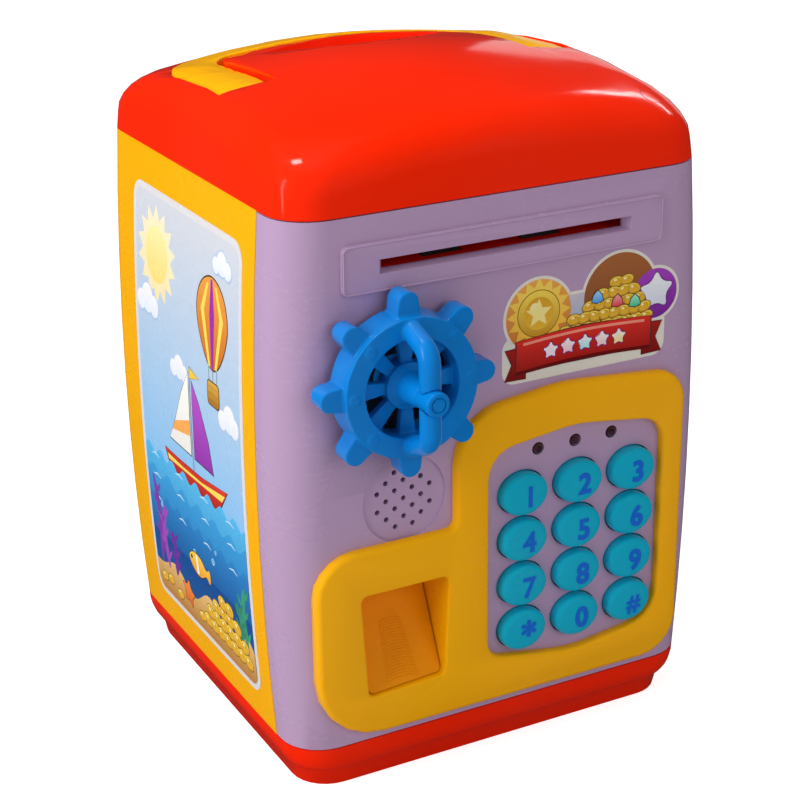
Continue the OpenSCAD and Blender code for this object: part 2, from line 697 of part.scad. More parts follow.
// Contour of the sticker between the bezel and the slot panel
sticker_z = note_z - 41;
module sticker_plan() difference() {
    translate([0, sticker_z]) {
        rounded_rect([-1.5, 0], [52, 14.1], 4);
        rounded_rect([3, 6.1], [46, 23.9], 4);
        translate([10, 18.8]) circle(11.3);
        translate([36.5, 20.7]) circle(12.8, $fn = 96);
        translate([49, 18.7]) circle(8.4);
    }
    polygon(trace(bezel_line, -0.3));
}
module front_sticker() color([0.98, 0.85, 0.3]) difference() {
    intersection() {
        casing(0.25, front_z0, front_z1);
        along_y(-80, -50) sticker_plan();
    }
    casing(0, front_z0, front_z1);
}

// One key: an oval cap with a rolled edge and a flange behind the door
module key(i) {
    z = key_z(i);
    face = -half_d(z);
    back = face + wall + gap;
    a = key_size.x/2;
    color(teal) {
        translate([key_x(i), 0, z]) scale([1, 1, key_size.y/key_size.x]) rotate([90, 0, 0])
            rotate_extrude($fn = 36) translate([0, -face]) polygon([[0, face - back - 0.5], [a, face - back - 0.5],
                [a, 0.5], [a - 0.3, 1.15], [a - 1, 1.6], [a - 2.4, key_proud - 0.15], [0, key_proud]]);
        block([key_x(i) - 8.6, back, z - 6.8], [key_x(i) + 8.6, back + 1, z + 6.8]);
        rod_y(key_x(i), z, 2.6, back + 0.5, board_front - mat_h - key_travel - gap);
    }
}
module key_1() key(0);
module key_2() key(1);
module key_3() key(2);
module key_4() key(3);
module key_5() key(4);
module key_6() key(5);
module key_7() key(6);
module key_8() key(7);
module key_9() key(8);
module key_star() key(9);
module key_0() key(10);
module key_hash() key(11);

module key_mat() color([0.35, 0.35, 0.38]) {
    block([board[0].x + 7, board_front - mat_h + 0.3, board[0].y + 6], [board[1].x - 0.5, board_front, 88]);
    for (i = [0:11]) rod_y(key_x(i), key_z(i), 3, board_front - mat_h, board_front - 1);
}

module main_board() color(green) difference() {
    block([board[0].x, board_front, board[0].y], [board[1].x, board_front + board_t, board[1].y]);
    for (p = board_posts) rod_y(p.x, p.y, 1, board_front - 1, board_front + 3);
}

module board_parts() color(dark) {
    y = board_front + board_t;
    block([14, y, 46], [30, y + 2, 60]);
    block([6, y, 72], [13, y + 1.6, 82]);
    block([34, y, 74], [46, y + 4.5, 80]);
    for (p = [[36, 40], [42, 62]]) rod_y(p.x, p.y, 3, y, y + 5.4);
}

module status_lights() color([0.2, 0.08, 0.1, 0.9]) for (x = light_x) {
    rod_y(x, light_z, 1.55, -64.2, board_front);
    translate([x, -64.2, light_z]) sphere(1.55);
}

// Sloping finger pad in the well
pad_slope = 0.567;
pad_low = -65.84;
pad_high = pad_low + 25.5*pad_slope;
module finger_pad() color(yellow) {
    intersection() {
        along_x(-55, -10) polygon([[pad_low, 29.2], [pad_high, 54.7], [pad_high, 64], [well_rear + 0.2, 64],
            [well_rear + 0.2, 54], [pad_low + 3, 31.4], [pad_low + 3, 29.2]]);
        along_y(-75, -45) polygon(trace(well_line, 0.4));
    }
    block([-36, -55, 45], [-31, -48.9, 49]);
}

module sensor_board() color(green) {
    block([-47.5, -45.8, 28.5], [-18.5, -44.6, 63.5]);
    color(dark) block([-37, -47.8, 43.5], [-30, -45.8, 50.5]);
}

module behind_grille() translate([speaker_at.x, -61, speaker_at.y]) rotate([-90, 0, 0]) children();
module speaker_driver() color(dark) behind_grille() difference() {
    union() {
        cylinder(h = 1.2, r = 15.2);
        cylinder(h = 6, r1 = 13.6, r2 = 9);
        cylinder(h = 11, r = 8.5);
    }
    translate([0, 0, -1]) cylinder(h = 6, r1 = 14, r2 = 6);
}

module speaker_cone() color([0.2, 0.2, 0.22]) behind_grille() rotate_extrude()
    polygon([[0, 1.6], [3, 2.2], [5.5, 4.1], [12, -0.4], [13.4, -0.4], [13.4, 0], [12.3, 0], [5.5, 4.6],
        [3, 2.7], [0, 2.1]]);

// Note feeder: guides, rollers and a geared motor behind the slot
roller_r = 4.6;
roller_half = 5.7;
roller_x = 15.4;
cheek = [41, 43];
feeder_z = [note_z - 10.5, note_z + 10.5];
feeder_rear = -46.8;
guide_gap = 2.2;
guide_t = 1.8;

module feeder_frame() color(red) {
    difference() {
        union() {
            block([-cheek[1], feeder_flange_y, feeder_z[0]], [cheek[1], feeder_flange_y + 1.5, feeder_z[1]]);
            for (s = [-1, 1]) block([s > 0 ? cheek[0] : -cheek[1], feeder_flange_y, feeder_z[0]],
                [s > 0 ? cheek[1] : -cheek[0], feeder_rear, feeder_z[1]]);
            block([-cheek[0] - 0.5, feeder_flange_y, note_z - guide_gap - guide_t],
                [cheek[0] + 0.5, feeder_rear, note_z + guide_gap + guide_t]);
        }
        block([-cheek[0], feeder_flange_y - 1, note_z - guide_gap],
            [cheek[0], feeder_rear + 1, note_z + guide_gap]);
        for (s = [-1, 1]) block([s*roller_x - roller_half - 0.5, feed_y - roller_r - 0.6, feed_z],
            [s*roller_x + roller_half + 0.5, feed_y + roller_r + 0.6, pinch_z]);
        block([-cheek[0], feed_y - pin_r - 0.5, feed_z], [cheek[0], feed_y + pin_r + 0.5, pinch_z]);
        rod_x(feed_y, feed_z, pin_r + fit, -50, 50);
        rod_x(feed_y, pinch_z, pin_r + fit, -50, 50);
    }
}

module feeder_motor() color(steel) {
    difference() {
        intersection() {
            rod_x(motor_mid, motor_z, motor_r, 18, 38);
            block([10, motor_mid - motor_flat, motor_z - 10], [40, motor_mid + motor_flat, motor_z + 10]);
        }
        rod_x(motor_y, motor_z, 1.06, 36, 50);
    }
    difference() {
        block([38, motor_mid - motor_flat, motor_z - motor_r],
            [44, motor_mid + motor_flat, motor_z + motor_r]);
        rod_x(motor_y, motor_z, 1.06, 36, 50);
    }
}

// Spur gear on the X axis: straight-flanked teeth between root and tip circles
module gear(teeth, x0, x1, phase) {
    rp = gear_mod*teeth/2;
    tip = rp + 0.85*gear_mod;
    root = rp - 1.15*gear_mod;
    half = 90/teeth*0.86;
    along_x(x0, x1) {
        circle(root);
        for (k = [0:teeth - 1]) rotate(phase + 360*k/teeth)
            polygon([(root - 0.4)*way(-half*1.5), rp*way(-half), tip*way(-half*0.5), tip*way(half*0.5),
                rp*way(half), (root - 0.4)*way(half*1.5)]);
    }
}
mesh_angle = atan2(motor_z - feed_z, motor_y - feed_y);

module roller_gear() color([0.92, 0.92, 0.9]) difference() {
    translate([0, feed_y, feed_z]) gear(feed_teeth, gear_x[0], gear_x[1], mesh_angle);
    rod_x(feed_y, feed_z, pin_r + snug, 40, 60);
}

module drive_gear() color([0.92, 0.92, 0.9]) {
    translate([0, motor_y, motor_z])
        gear(drive_teeth, gear_x[0], gear_x[1], mesh_angle + 180 + 180/drive_teeth);
    rod_x(motor_y, motor_z, 1, 37, 49.6);
}

module roller_shaft() color(steel) rod_x(feed_y, feed_z, pin_r, -44.5, 50);
module pinch_shaft() color(steel) rod_x(feed_y, pinch_z, pin_r, -44.5, 44.5);
module rollers(z) for (s = [-1, 1]) difference() {
    rod_x(feed_y, z, roller_r, s*roller_x - roller_half, s*roller_x + roller_half);
    rod_x(feed_y, z, pin_r, -40, 40);
}
module feed_rollers() color(dark) rollers(feed_z);
module pinch_rollers() color(dark) rollers(pinch_z);

// Wheel: local z points out of the door
module on_wheel() translate([wheel_at.x, wheel_face, wheel_at.y]) rotate([90, 0, 0]) children();
spoke_h = 7;
spoke_r = 2;
knob_foot = rim_r[0] - 1.4;
pip_at = rim_r[0] - 3;
pip_r = [1.3, 1];
pip_h = 0.7;
grip_lean = 20;
grip_bend = 5;
grip_foot = [(rim_r[0] + rim_r[1])/2, 8];
knob_h = (rim_h[0] + rim_h[1])/2;
knob_round = 1.5;
hub_h = 8.6;
ring_h = 9.4;
post_h = 18;
post_r = 3.4;

// Half section of a knob: a blunt peg that starts inside the rim and narrows to a rounded tip
module wheel_knob_profile() {
    polygon([[0, knob_foot], [knob_r[0], knob_foot], [knob_r[1], knob_tip_r - knob_round],
        [0, knob_tip_r - knob_round]]);
    translate([0, knob_tip_r - knob_round - 0.1]) square([knob_r[1] - knob_round, knob_round + 0.1]);
    intersection() {
        translate([knob_r[1] - knob_round, knob_tip_r - knob_round]) circle(knob_round);
        translate([0, knob_tip_r - knob_round]) square([knob_r[1], knob_round]);
    }
}

// Bowed grip bar: two leaning legs, a bend above each and a straight middle
module grip_bar() rotate(90) {
    turn = 90 - grip_lean;
    bend_h = grip_h - grip_bend;
    // the bend ends on the leg that leans out to the middle of the rim
    reach = (bend_h + grip_bend*cos(turn) - grip_foot.y)/cos(grip_lean);
    bend_x = grip_foot.x - reach*sin(grip_lean) - grip_bend*sin(turn);
    translate([-bend_x - 0.3, 0, grip_h]) rotate([0, 90, 0])
        cylinder(h = 2*bend_x + 0.6, r = grip_d/2 - 0.05, $fn = 32);
    for (s = [0, 180]) rotate(s) rotate([90, 0, 0]) {
        translate([bend_x, bend_h, 0]) rotate([0, 0, grip_lean]) rotate_extrude(angle = turn)
            translate([grip_bend, 0]) circle(grip_d/2, $fn = 32);
        translate([grip_foot.x, grip_foot.y, 0]) rotate([0, 0, grip_lean]) rotate([-90, 0, 0])
            cylinder(h = reach + 0.3, r = grip_d/2 - 0.05, $fn = 32);
    }
}

module ship_wheel() color(blue) on_wheel() {
    difference() {
        union() {
            rotate_extrude($fn = 96) rounded_rect([rim_r[1], rim_h[0]], [rim_r[0], rim_h[1]], 1.6);
            for (k = [0:7]) rotate(45*k) {
                translate([4, 0, spoke_h]) rotate([0, 90, 0]) cylinder(h = rim_r[1] - 3, r = spoke_r);
                translate([0, 0, knob_h]) rotate([0, 90, 0]) rotate_extrude() wheel_knob_profile();
                if (k%4 != 2) translate([pip_at, 0, rim_h[1] - 0.1])
                    cylinder(h = pip_h + 0.1, r1 = pip_r[0], r2 = pip_r[1], $fn = 24);
            }
            translate([0, 0, 0.5]) cylinder(h = hub_h - 0.5, r = hub_r);
            translate([0, 0, hub_h - 0.6]) cylinder(h = ring_h - hub_h + 0.6, r = hub_r - 1.2);
            translate([0, 0, hub_h - 0.1]) cylinder(h = post_h - hub_h + 0.1, r1 = 4.6, r2 = 3.2);
            grip_bar();
        }
        translate([0, 0, -1]) cylinder(h = 5, r = shaft_r + snug);
        translate([0, 0, post_h]) cylinder(h = 20, r = post_r + snug);
    }
}

cap_round = 0.8;
module wheel_cap() color(blue) on_wheel() difference() {
    union() {
        translate([0, 0, post_h]) cylinder(h = cap_h - cap_round - post_h, r = post_r);
        rotate_extrude() translate([0, cap_h - cap_round]) {
            square([post_r - cap_round, cap_round]);
            translate([post_r - cap_round, 0]) circle(cap_round);
        }
    }
    translate([0, 0, cap_h - cap_round/2]) difference() {
        cylinder(h = 1, r = 2.1);
        translate([0, 0, -1]) cylinder(h = 3, r = 1.8);
    }
}

// Shaft with the notched cam that the lock holds, and the latch arm on its rear end
cam_y = [-57.5, -54.5];
cam_r = 9;
notch_depth = 4;
notch_half = 2;
arm_y = [-43, -40.2];
arm_l = 27;
arm_w = 8;
module wheel_shaft() color(steel) difference() {
    union() {
        rod_y(wheel_at.x, wheel_at.y, shaft_r, wheel_face - 4, arm_y[1]);
        rod_y(wheel_at.x, wheel_at.y, cam_r, cam_y[0], cam_y[1]);
    }
    for (a = [0, 90]) translate([wheel_at.x, 0, wheel_at.y]) rotate([0, a, 0])
        block([cam_r - notch_depth, cam_y[0] - 1, -notch_half], [cam_r + 1, cam_y[1] + 1, notch_half]);
    rod_y(wheel_at.x, wheel_at.y, 1.2 + snug, -48, -39);
}

module latch_arm() color(steel) difference() {
    union() {
        rod_y(wheel_at.x, wheel_at.y, 6, arm_y[0], arm_y[1]);
        along_y(arm_y[0], arm_y[1])
            translate([wheel_at.x - arm_w/2, wheel_at.y]) rounded_rect([0, 0], [arm_w, arm_l], 2);
    }
    rod_y(wheel_at.x, wheel_at.y, shaft_r + snug, -50, -30);
}

module latch_screw() color(steel) translate([wheel_at.x, arm_y[1], wheel_at.y]) rotate([90, 0, 0])
    screw(7, 1.2, 4.2);

coil_y = -56;
module lock_coil() color(brass) difference() {
    union() {
        for (x = [-22, -3.5]) block([x, coil_y - 5, wheel_at.y - 5], [x + 1.5, coil_y + 5, wheel_at.y + 5]);
        rod_x(coil_y, wheel_at.y, 4.6, -21, -3);
    }
    rod_x(coil_y, wheel_at.y, 1.85, -30, -6);
}
module lock_plunger() color(steel) rod_x(coil_y, wheel_at.y, 1.5, -25.4, -12);

body_shell();
base_tray();
lid_cover();
coin_chute();
side_label();
lid_screws();
base_screws();
hinge_pins();
handle_pins();
battery_cover();
battery_screw();
battery_cells();
battery_contacts();
switch_body();
switch_knob();
carry_handle();
door_shell();
door_bezel();
door_back();
door_screws();
front_sticker();
key_1();
key_2();
key_3();
key_4();
key_5();
key_6();
key_7();
key_8();
key_9();
key_star();
key_0();
key_hash();
key_mat();
main_board();
board_parts();
status_lights();
finger_pad();
sensor_board();
speaker_driver();
speaker_cone();
feeder_frame();
feeder_motor();
drive_gear();
roller_gear();
roller_shaft();
feed_rollers();
pinch_shaft();
pinch_rollers();
ship_wheel();
wheel_cap();
wheel_shaft();
latch_arm();
latch_screw();
lock_coil();
lock_plunger();
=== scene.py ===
"""Looks of a toy safe: a coin bank with a keypad door, a ship's wheel and a domed lid.

All lengths in the classes are millimetres; meshes are written in metres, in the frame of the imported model.
"""

import json
import logging
import math
from collections.abc import Callable, Iterable, Sequence
from dataclasses import dataclass, field
from enum import Enum

import bmesh
import bpy
from mathutils import Matrix, Vector
from mathutils.bvhtree import BVHTree

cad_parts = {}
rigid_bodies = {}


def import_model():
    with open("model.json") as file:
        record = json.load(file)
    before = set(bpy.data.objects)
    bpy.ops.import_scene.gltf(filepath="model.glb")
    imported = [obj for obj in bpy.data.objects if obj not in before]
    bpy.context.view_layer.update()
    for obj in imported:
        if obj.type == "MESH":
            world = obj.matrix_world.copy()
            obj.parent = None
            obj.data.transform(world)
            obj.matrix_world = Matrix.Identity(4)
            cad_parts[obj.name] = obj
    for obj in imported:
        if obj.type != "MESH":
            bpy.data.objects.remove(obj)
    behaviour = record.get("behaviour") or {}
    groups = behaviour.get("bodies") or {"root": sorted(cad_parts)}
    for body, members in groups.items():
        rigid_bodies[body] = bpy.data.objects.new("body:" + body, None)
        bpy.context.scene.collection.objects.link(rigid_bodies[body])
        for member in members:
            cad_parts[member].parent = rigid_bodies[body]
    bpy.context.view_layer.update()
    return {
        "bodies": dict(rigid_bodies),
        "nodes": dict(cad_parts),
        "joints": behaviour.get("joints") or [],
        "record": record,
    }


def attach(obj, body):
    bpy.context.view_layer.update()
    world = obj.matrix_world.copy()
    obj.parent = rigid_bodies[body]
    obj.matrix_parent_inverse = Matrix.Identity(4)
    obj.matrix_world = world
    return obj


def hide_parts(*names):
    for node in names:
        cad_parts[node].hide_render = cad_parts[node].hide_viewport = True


LOG = logging.getLogger("safe_bank")
MM = 0.001
ORIGIN = (0.0, 0.0, 0.0)
UNIT = (1.0, 1.0, 1.0)
WELD = 2e-6  # metres within which the vertices of a CAD mesh are one
SLIVER = 1e-6  # metres under which an edge is dropped
FLAT = 0.25  # degrees under which two facets are one
ROLL_FACETS = 2
Point = tuple[float, float]
Triple = tuple[float, float, float]
Colour = Triple
Socket = bpy.types.NodeSocket
Piece = bpy.types.Object
Material = bpy.types.Material
Surface = Callable[[float, float, float], Vector]


class Slot(Enum):
    """Material slots of the record."""

    YELLOW = "yellow_plastic"
    RED = "red_plastic"
    LILAC = "lilac_plastic"
    BLUE = "blue_plastic"
    TEAL = "teal_plastic"
    WHITE = "white_plastic"
    DARK = "dark_plastic"
    LENS = "dark_lens"
    GREY_RUBBER = "grey_rubber"
    BLACK_RUBBER = "black_rubber"
    STEEL = "steel"
    COPPER = "copper_coil"
    BOARD = "board_green"
    CONE = "cone_paper"
    SIDE_PRINT = "side_print"
    FRONT_PRINT = "front_print"
    CELL = "cell_jacket"


# Finishes. Each is a node-based material with sizes of its own.


class Shader:
    """Lays out the nodes of one material."""

    def __init__(self, name: str) -> None:
        """Starts a material with one shader.

        Args:
            name: Name of the material.
        """
        self.material = bpy.data.materials.new(name)
        self.material.use_nodes = True
        self.tree = self.material.node_tree
        self.tree.nodes.clear()
        output = self.tree.nodes.new("ShaderNodeOutputMaterial")
        self.surface = self.tree.nodes.new("ShaderNodeBsdfPrincipled")
        self.tree.links.new(self.surface.outputs[0], output.inputs[0])
        self.coords = self.tree.nodes.new("ShaderNodeTexCoord").outputs["Object"]

    def link(self, a: Socket, b: Socket) -> None:
        """Joins socket a to socket b."""
        self.tree.links.new(a, b)

    def stretch(self, scale: Triple) -> Socket:
        """Returns object coordinates stretched by the scale."""
        node = self.tree.nodes.new("ShaderNodeMapping")
        node.inputs["Scale"].default_value = scale
        self.link(self.coords, node.inputs["Vector"])
        return node.outputs[0]

    def noise(self, scale: float, detail: float = 2.0, vector: Socket | None = None) -> Socket:
        """Adds a noise.

        Args:
            scale: Cells per metre.
            detail: Octaves.
            vector: Coordinates, or none for plain object coordinates.

        Returns:
            The noise's value.
        """
        node = self.tree.nodes.new("ShaderNodeTexNoise")
        node.inputs["Scale"].default_value = scale
        node.inputs["Detail"].default_value = detail
        self.link(vector or self.coords, node.inputs["Vector"])
        return node.outputs[0]

    def remap(self, value: Socket, low: float, high: float, start: float = 0.3, stop: float = 0.7) -> Socket:
        """Maps start..stop of a value to low..high and returns the result."""
        node = self.tree.nodes.new("ShaderNodeMapRange")
        for name, number in (("From Min", start), ("From Max", stop), ("To Min", low), ("To Max", high)):
            node.inputs[name].default_value = number
        self.link(value, node.inputs["Value"])
        return node.outputs[0]

    def blend(self, factor: Socket, a: Colour | Socket, b: Colour | Socket) -> Socket:
        """Mixes two colours.

        Args:
            factor: 0 for a, 1 for b.
            a: First colour or socket.
            b: Second colour or socket.

        Returns:
            The mixed colour.
        """
        node = self.tree.nodes.new("ShaderNodeMix")
        node.data_type = "RGBA"
        self.link(factor, node.inputs[0])
        for socket, colour in ((node.inputs[6], a), (node.inputs[7], b)):
            if isinstance(colour, tuple):
                socket.default_value = (*colour, 1)
            else:
                self.link(colour, socket)
        return node.outputs[2]

    def colour(self, value: Socket) -> None:
        """Sets the base colour from a socket."""
        self.link(value, self.surface.inputs["Base Color"])

    def roughness(self, value: Socket) -> None:
        """Sets the roughness from a socket."""
        self.link(value, self.surface.inputs["Roughness"])

    def relief(self, *layers: tuple[Socket, float, float]) -> None:
        """Adds bump layers.

        Args:
            layers: Height, strength and depth in millimetres of each layer.
        """
        last = None
        for height, strength, depth in layers:
            node = self.tree.nodes.new("ShaderNodeBump")
            node.inputs["Strength"].default_value = strength
            node.inputs["Distance"].default_value = depth * MM
            self.link(height, node.inputs["Height"])
            if last:
                self.link(last, node.inputs["Normal"])
            last = node.outputs[0]
        self.link(last, self.surface.inputs["Normal"])

    def fix(self, **values: float) -> None:
        """Sets plain numbers on the shader's own sockets, named with underscores for blanks."""
        for name, value in values.items():
            self.surface.inputs[name.replace("_", " ")].default_value = value


@dataclass(frozen=True)
class MouldedPlastic:
    """Injection-moulded plastic: flow clouds in the colour, a fine mould texture and handling scuffs."""
    # Cells per metre of the noises.
    FLOW, SPECK, SCUFF, CLOUD, TEXTURE, RIPPLE = 14, 2400, 520, 26, 2600, 70

    name: str
    colour: Colour
    shine: float = 0.24
    clouding: float = 0.015
    grain: float = 0.06
    gloss: float = 0.2

    def make(self) -> Material:
        """Builds the material."""
        s = Shader(self.name)
        flow = s.noise(self.FLOW, 2, s.stretch((1.0, 1.0, 0.35)))
        deep = tuple(c * (1 - self.clouding) for c in self.colour)
        pale = tuple(min(1.0, c * (1 + self.clouding * 0.5) + 0.004) for c in self.colour)
        base = s.blend(s.remap(flow, 0, 1), deep, pale)
        speck = s.remap(s.noise(self.SPECK, 1), 0, 0.2, 0.62, 0.8)
        s.colour(s.blend(speck, base, deep))
        scuff = s.noise(self.SCUFF, 4, s.stretch((0.6, 0.6, 1.3)))
        cloud = s.noise(self.CLOUD, 1)
        total = s.tree.nodes.new("ShaderNodeMath")
        total.operation = "ADD"
        s.link(s.remap(scuff, 0, 0.05, 0.55, 0.75), total.inputs[0])
        s.link(s.remap(cloud, self.shine - 0.03, self.shine + 0.05), total.inputs[1])
        s.roughness(total.outputs[0])
        texture, ripple = s.noise(self.TEXTURE, 2), s.noise(self.RIPPLE, 1)
        s.relief((texture, self.grain, 0.02), (ripple, self.grain * 0.3, 0.02))
        s.fix(Specular_IOR_Level=self.gloss, IOR=1.5)
        return s.material


@dataclass(frozen=True)
class Metal:
    """Plated or drawn metal with fine lines across one axis."""
    # Cells per metre of the drawn lines and of the dull patches.
    DRAWN, DULL = 1800, 120

    name: str
    colour: Colour
    shine: float = 0.32
    lines: Triple = (1.0, 1.0, 0.05)

    def make(self) -> Material:
        """Builds the material."""
        s = Shader(self.name)
        brushed = s.noise(self.DRAWN, 3, s.stretch(self.lines))
        dull = tuple(c * 0.72 for c in self.colour)
        s.colour(s.blend(s.remap(s.noise(self.DULL, 3), 0, 0.7), self.colour, dull))
        s.roughness(s.remap(brushed, self.shine - 0.08, self.shine + 0.16))
        s.relief((brushed, 0.12, 0.02))
        s.fix(Metallic=1.0)
        return s.material


@dataclass(frozen=True)
class Rubber:
    """Matt rubber or pressed paper with a pitted face."""

    # Cells per metre of the dusty patches.
    DUST = 70

    name: str
    colour: Colour
    pits: float = 900
    depth: float = 0.05

    def make(self) -> Material:
        """Builds the material."""
        s = Shader(self.name)
        fine = s.noise(self.pits, 4)
        dusty = tuple(min(1.0, c + 0.05) for c in self.colour)
        s.colour(s.blend(s.remap(s.noise(self.DUST, 3), 0, 0.6), self.colour, dusty))
        s.roughness(s.remap(fine, 0.62, 0.85))
        s.relief((fine, 0.35, self.depth))
        return s.material


@dataclass(frozen=True)
class Lens:
    """Smoked window of a status light, with the diode's darker core."""
    # Cells per metre of the core and of the haze on the face.
    CORE, HAZE = 650, 300

    name: str
    colour: Colour
    core: Colour = (0.01, 0.004, 0.006)

    def make(self) -> Material:
        """Builds the material."""
        s = Shader(self.name)
        s.colour(s.blend(s.remap(s.noise(self.CORE, 2), 0, 1), self.colour, self.core))
        s.roughness(s.remap(s.noise(self.HAZE, 2), 0.06, 0.16))
        s.fix(Coat_Weight=0.6, Coat_Roughness=0.05, IOR=1.5)
        return s.material


@dataclass(frozen=True)
class CircuitBoard:
    """Green solder mask with paler copper tracks under it."""
    # Cells per metre of the tracks and of the mask's face.
    TRACKS, MASK = 260, 400

    name: str
    colour: Colour
    track: Colour = (0.1, 0.42, 0.18)

    def make(self) -> Material:
        """Builds the material."""
        s = Shader(self.name)
        cells = s.tree.nodes.new("ShaderNodeTexVoronoi")
        cells.distance = "MANHATTAN"
        cells.feature = "F1"
        cells.inputs["Scale"].default_value = self.TRACKS
        s.link(s.coords, cells.inputs["Vector"])
        tracks = s.remap(cells.outputs["Distance"], 1, 0, 0.32, 0.36)
        s.colour(s.blend(tracks, self.colour, self.track))
        s.roughness(s.remap(s.noise(self.MASK, 2), 0.28, 0.42))
        s.relief((tracks, 0.3, 0.03))
        return s.material


@dataclass(frozen=True)
class Printed:
    """Laminated print: ink held in the mesh's colour attribute, with a fine screen and a glossy film."""
    # Cells per metre of the printing screen, the film's gloss and its waves.
    SCREEN, FILM, WAVES = 3200, 80, 160

    name: str
    attribute: str = "ink"

    def make(self) -> Material:
        """Builds the material."""
        s = Shader(self.name)
        ink = s.tree.nodes.new("ShaderNodeVertexColor")
        ink.layer_name = self.attribute
        grey = s.tree.nodes.new("ShaderNodeHueSaturation")
        grey.inputs["Value"].default_value = 0.86
        s.link(ink.outputs[0], grey.inputs["Color"])
        screen = s.remap(s.noise(self.SCREEN, 1), 0, 0.5, 0.45, 0.7)
        s.colour(s.blend(screen, ink.outputs[0], grey.outputs[0]))
        s.roughness(s.remap(s.noise(self.FILM, 3), 0.2, 0.34))
        s.relief((s.noise(self.WAVES, 2), 0.08, 0.05))
        s.fix(Specular_IOR_Level=0.16)
        return s.material


Finish = MouldedPlastic | Metal | Rubber | Lens | CircuitBoard | Printed


class Palette:
    """The finishes of the bank, each built once."""

    FINISHES = {
        Slot.YELLOW: MouldedPlastic("yellow moulding", (0.98, 0.455, 0.0)),
        Slot.RED: MouldedPlastic("red moulding", (1.0, 0.02, 0.0), shine=0.1, gloss=0.26),
        Slot.LILAC: MouldedPlastic("lilac moulding", (0.49, 0.33, 0.52), clouding=0.008, gloss=0.3),
        Slot.BLUE: MouldedPlastic("blue moulding", (0.0, 0.215, 0.66), shine=0.16, gloss=0.5),
        Slot.TEAL: MouldedPlastic("turquoise key", (0.0, 0.43, 0.63), shine=0.22, gloss=0.3),
        Slot.WHITE: MouldedPlastic("white nylon", (0.8, 0.8, 0.76), shine=0.4),
        Slot.DARK: MouldedPlastic("black moulding", (0.03, 0.03, 0.034), shine=0.38, grain=0.2, gloss=0.3),
        Slot.LENS: Lens("smoked lens", (0.1, 0.035, 0.07)),
        Slot.GREY_RUBBER: Rubber("grey contact rubber", (0.1, 0.1, 0.11)),
        Slot.BLACK_RUBBER: Rubber("black roller rubber", (0.02, 0.02, 0.022), pits=1500),
        Slot.STEEL: Metal("zinc-plated steel", (0.62, 0.63, 0.66)),
        Slot.COPPER: Metal("enamelled copper", (0.66, 0.28, 0.1), shine=0.25, lines=(0.05, 1.0, 1.0)),
        Slot.BOARD: CircuitBoard("solder mask", (0.02, 0.16, 0.06)),
        Slot.CONE: Rubber("pressed cone paper", (0.045, 0.045, 0.05), pits=2200, depth=0.08),
        Slot.SIDE_PRINT: Printed("side print"),
        Slot.FRONT_PRINT: Printed("front print"),
        Slot.CELL: MouldedPlastic("cell jacket", (0.05, 0.13, 0.17), shine=0.22, gloss=0.5),
    }
    INK = MouldedPlastic("numeral ink", (0.002, 0.14, 0.68), shine=0.36)
    # Darker orange copy of the yellow moulding for the finger pad and its ridges: painted shade of the deep
    # finger well.
    SHADED_PAD = MouldedPlastic("pad moulding with painted shade", (0.92, 0.31, 0.0), gloss=0.15)
    SEAM = MouldedPlastic("red seam", (0.42, 0.01, 0.004), shine=0.3)

    def __init__(self) -> None:
        """Starts with no material built."""
        self._made: dict[str, Material] = {}

    def get(self, slot: Slot) -> Material:
        """Returns the material of a slot, building it on first use."""
        return self.finish(self.FINISHES[slot])

    def finish(self, finish: Finish) -> Material:
        """Returns the material of a finish, building it on first use."""
        if finish.name not in self._made:
            self._made[finish.name] = finish.make()
        return self._made[finish.name]


# Shapes. Geometry Nodes trees that are run once, and helpers that work on plain meshes.


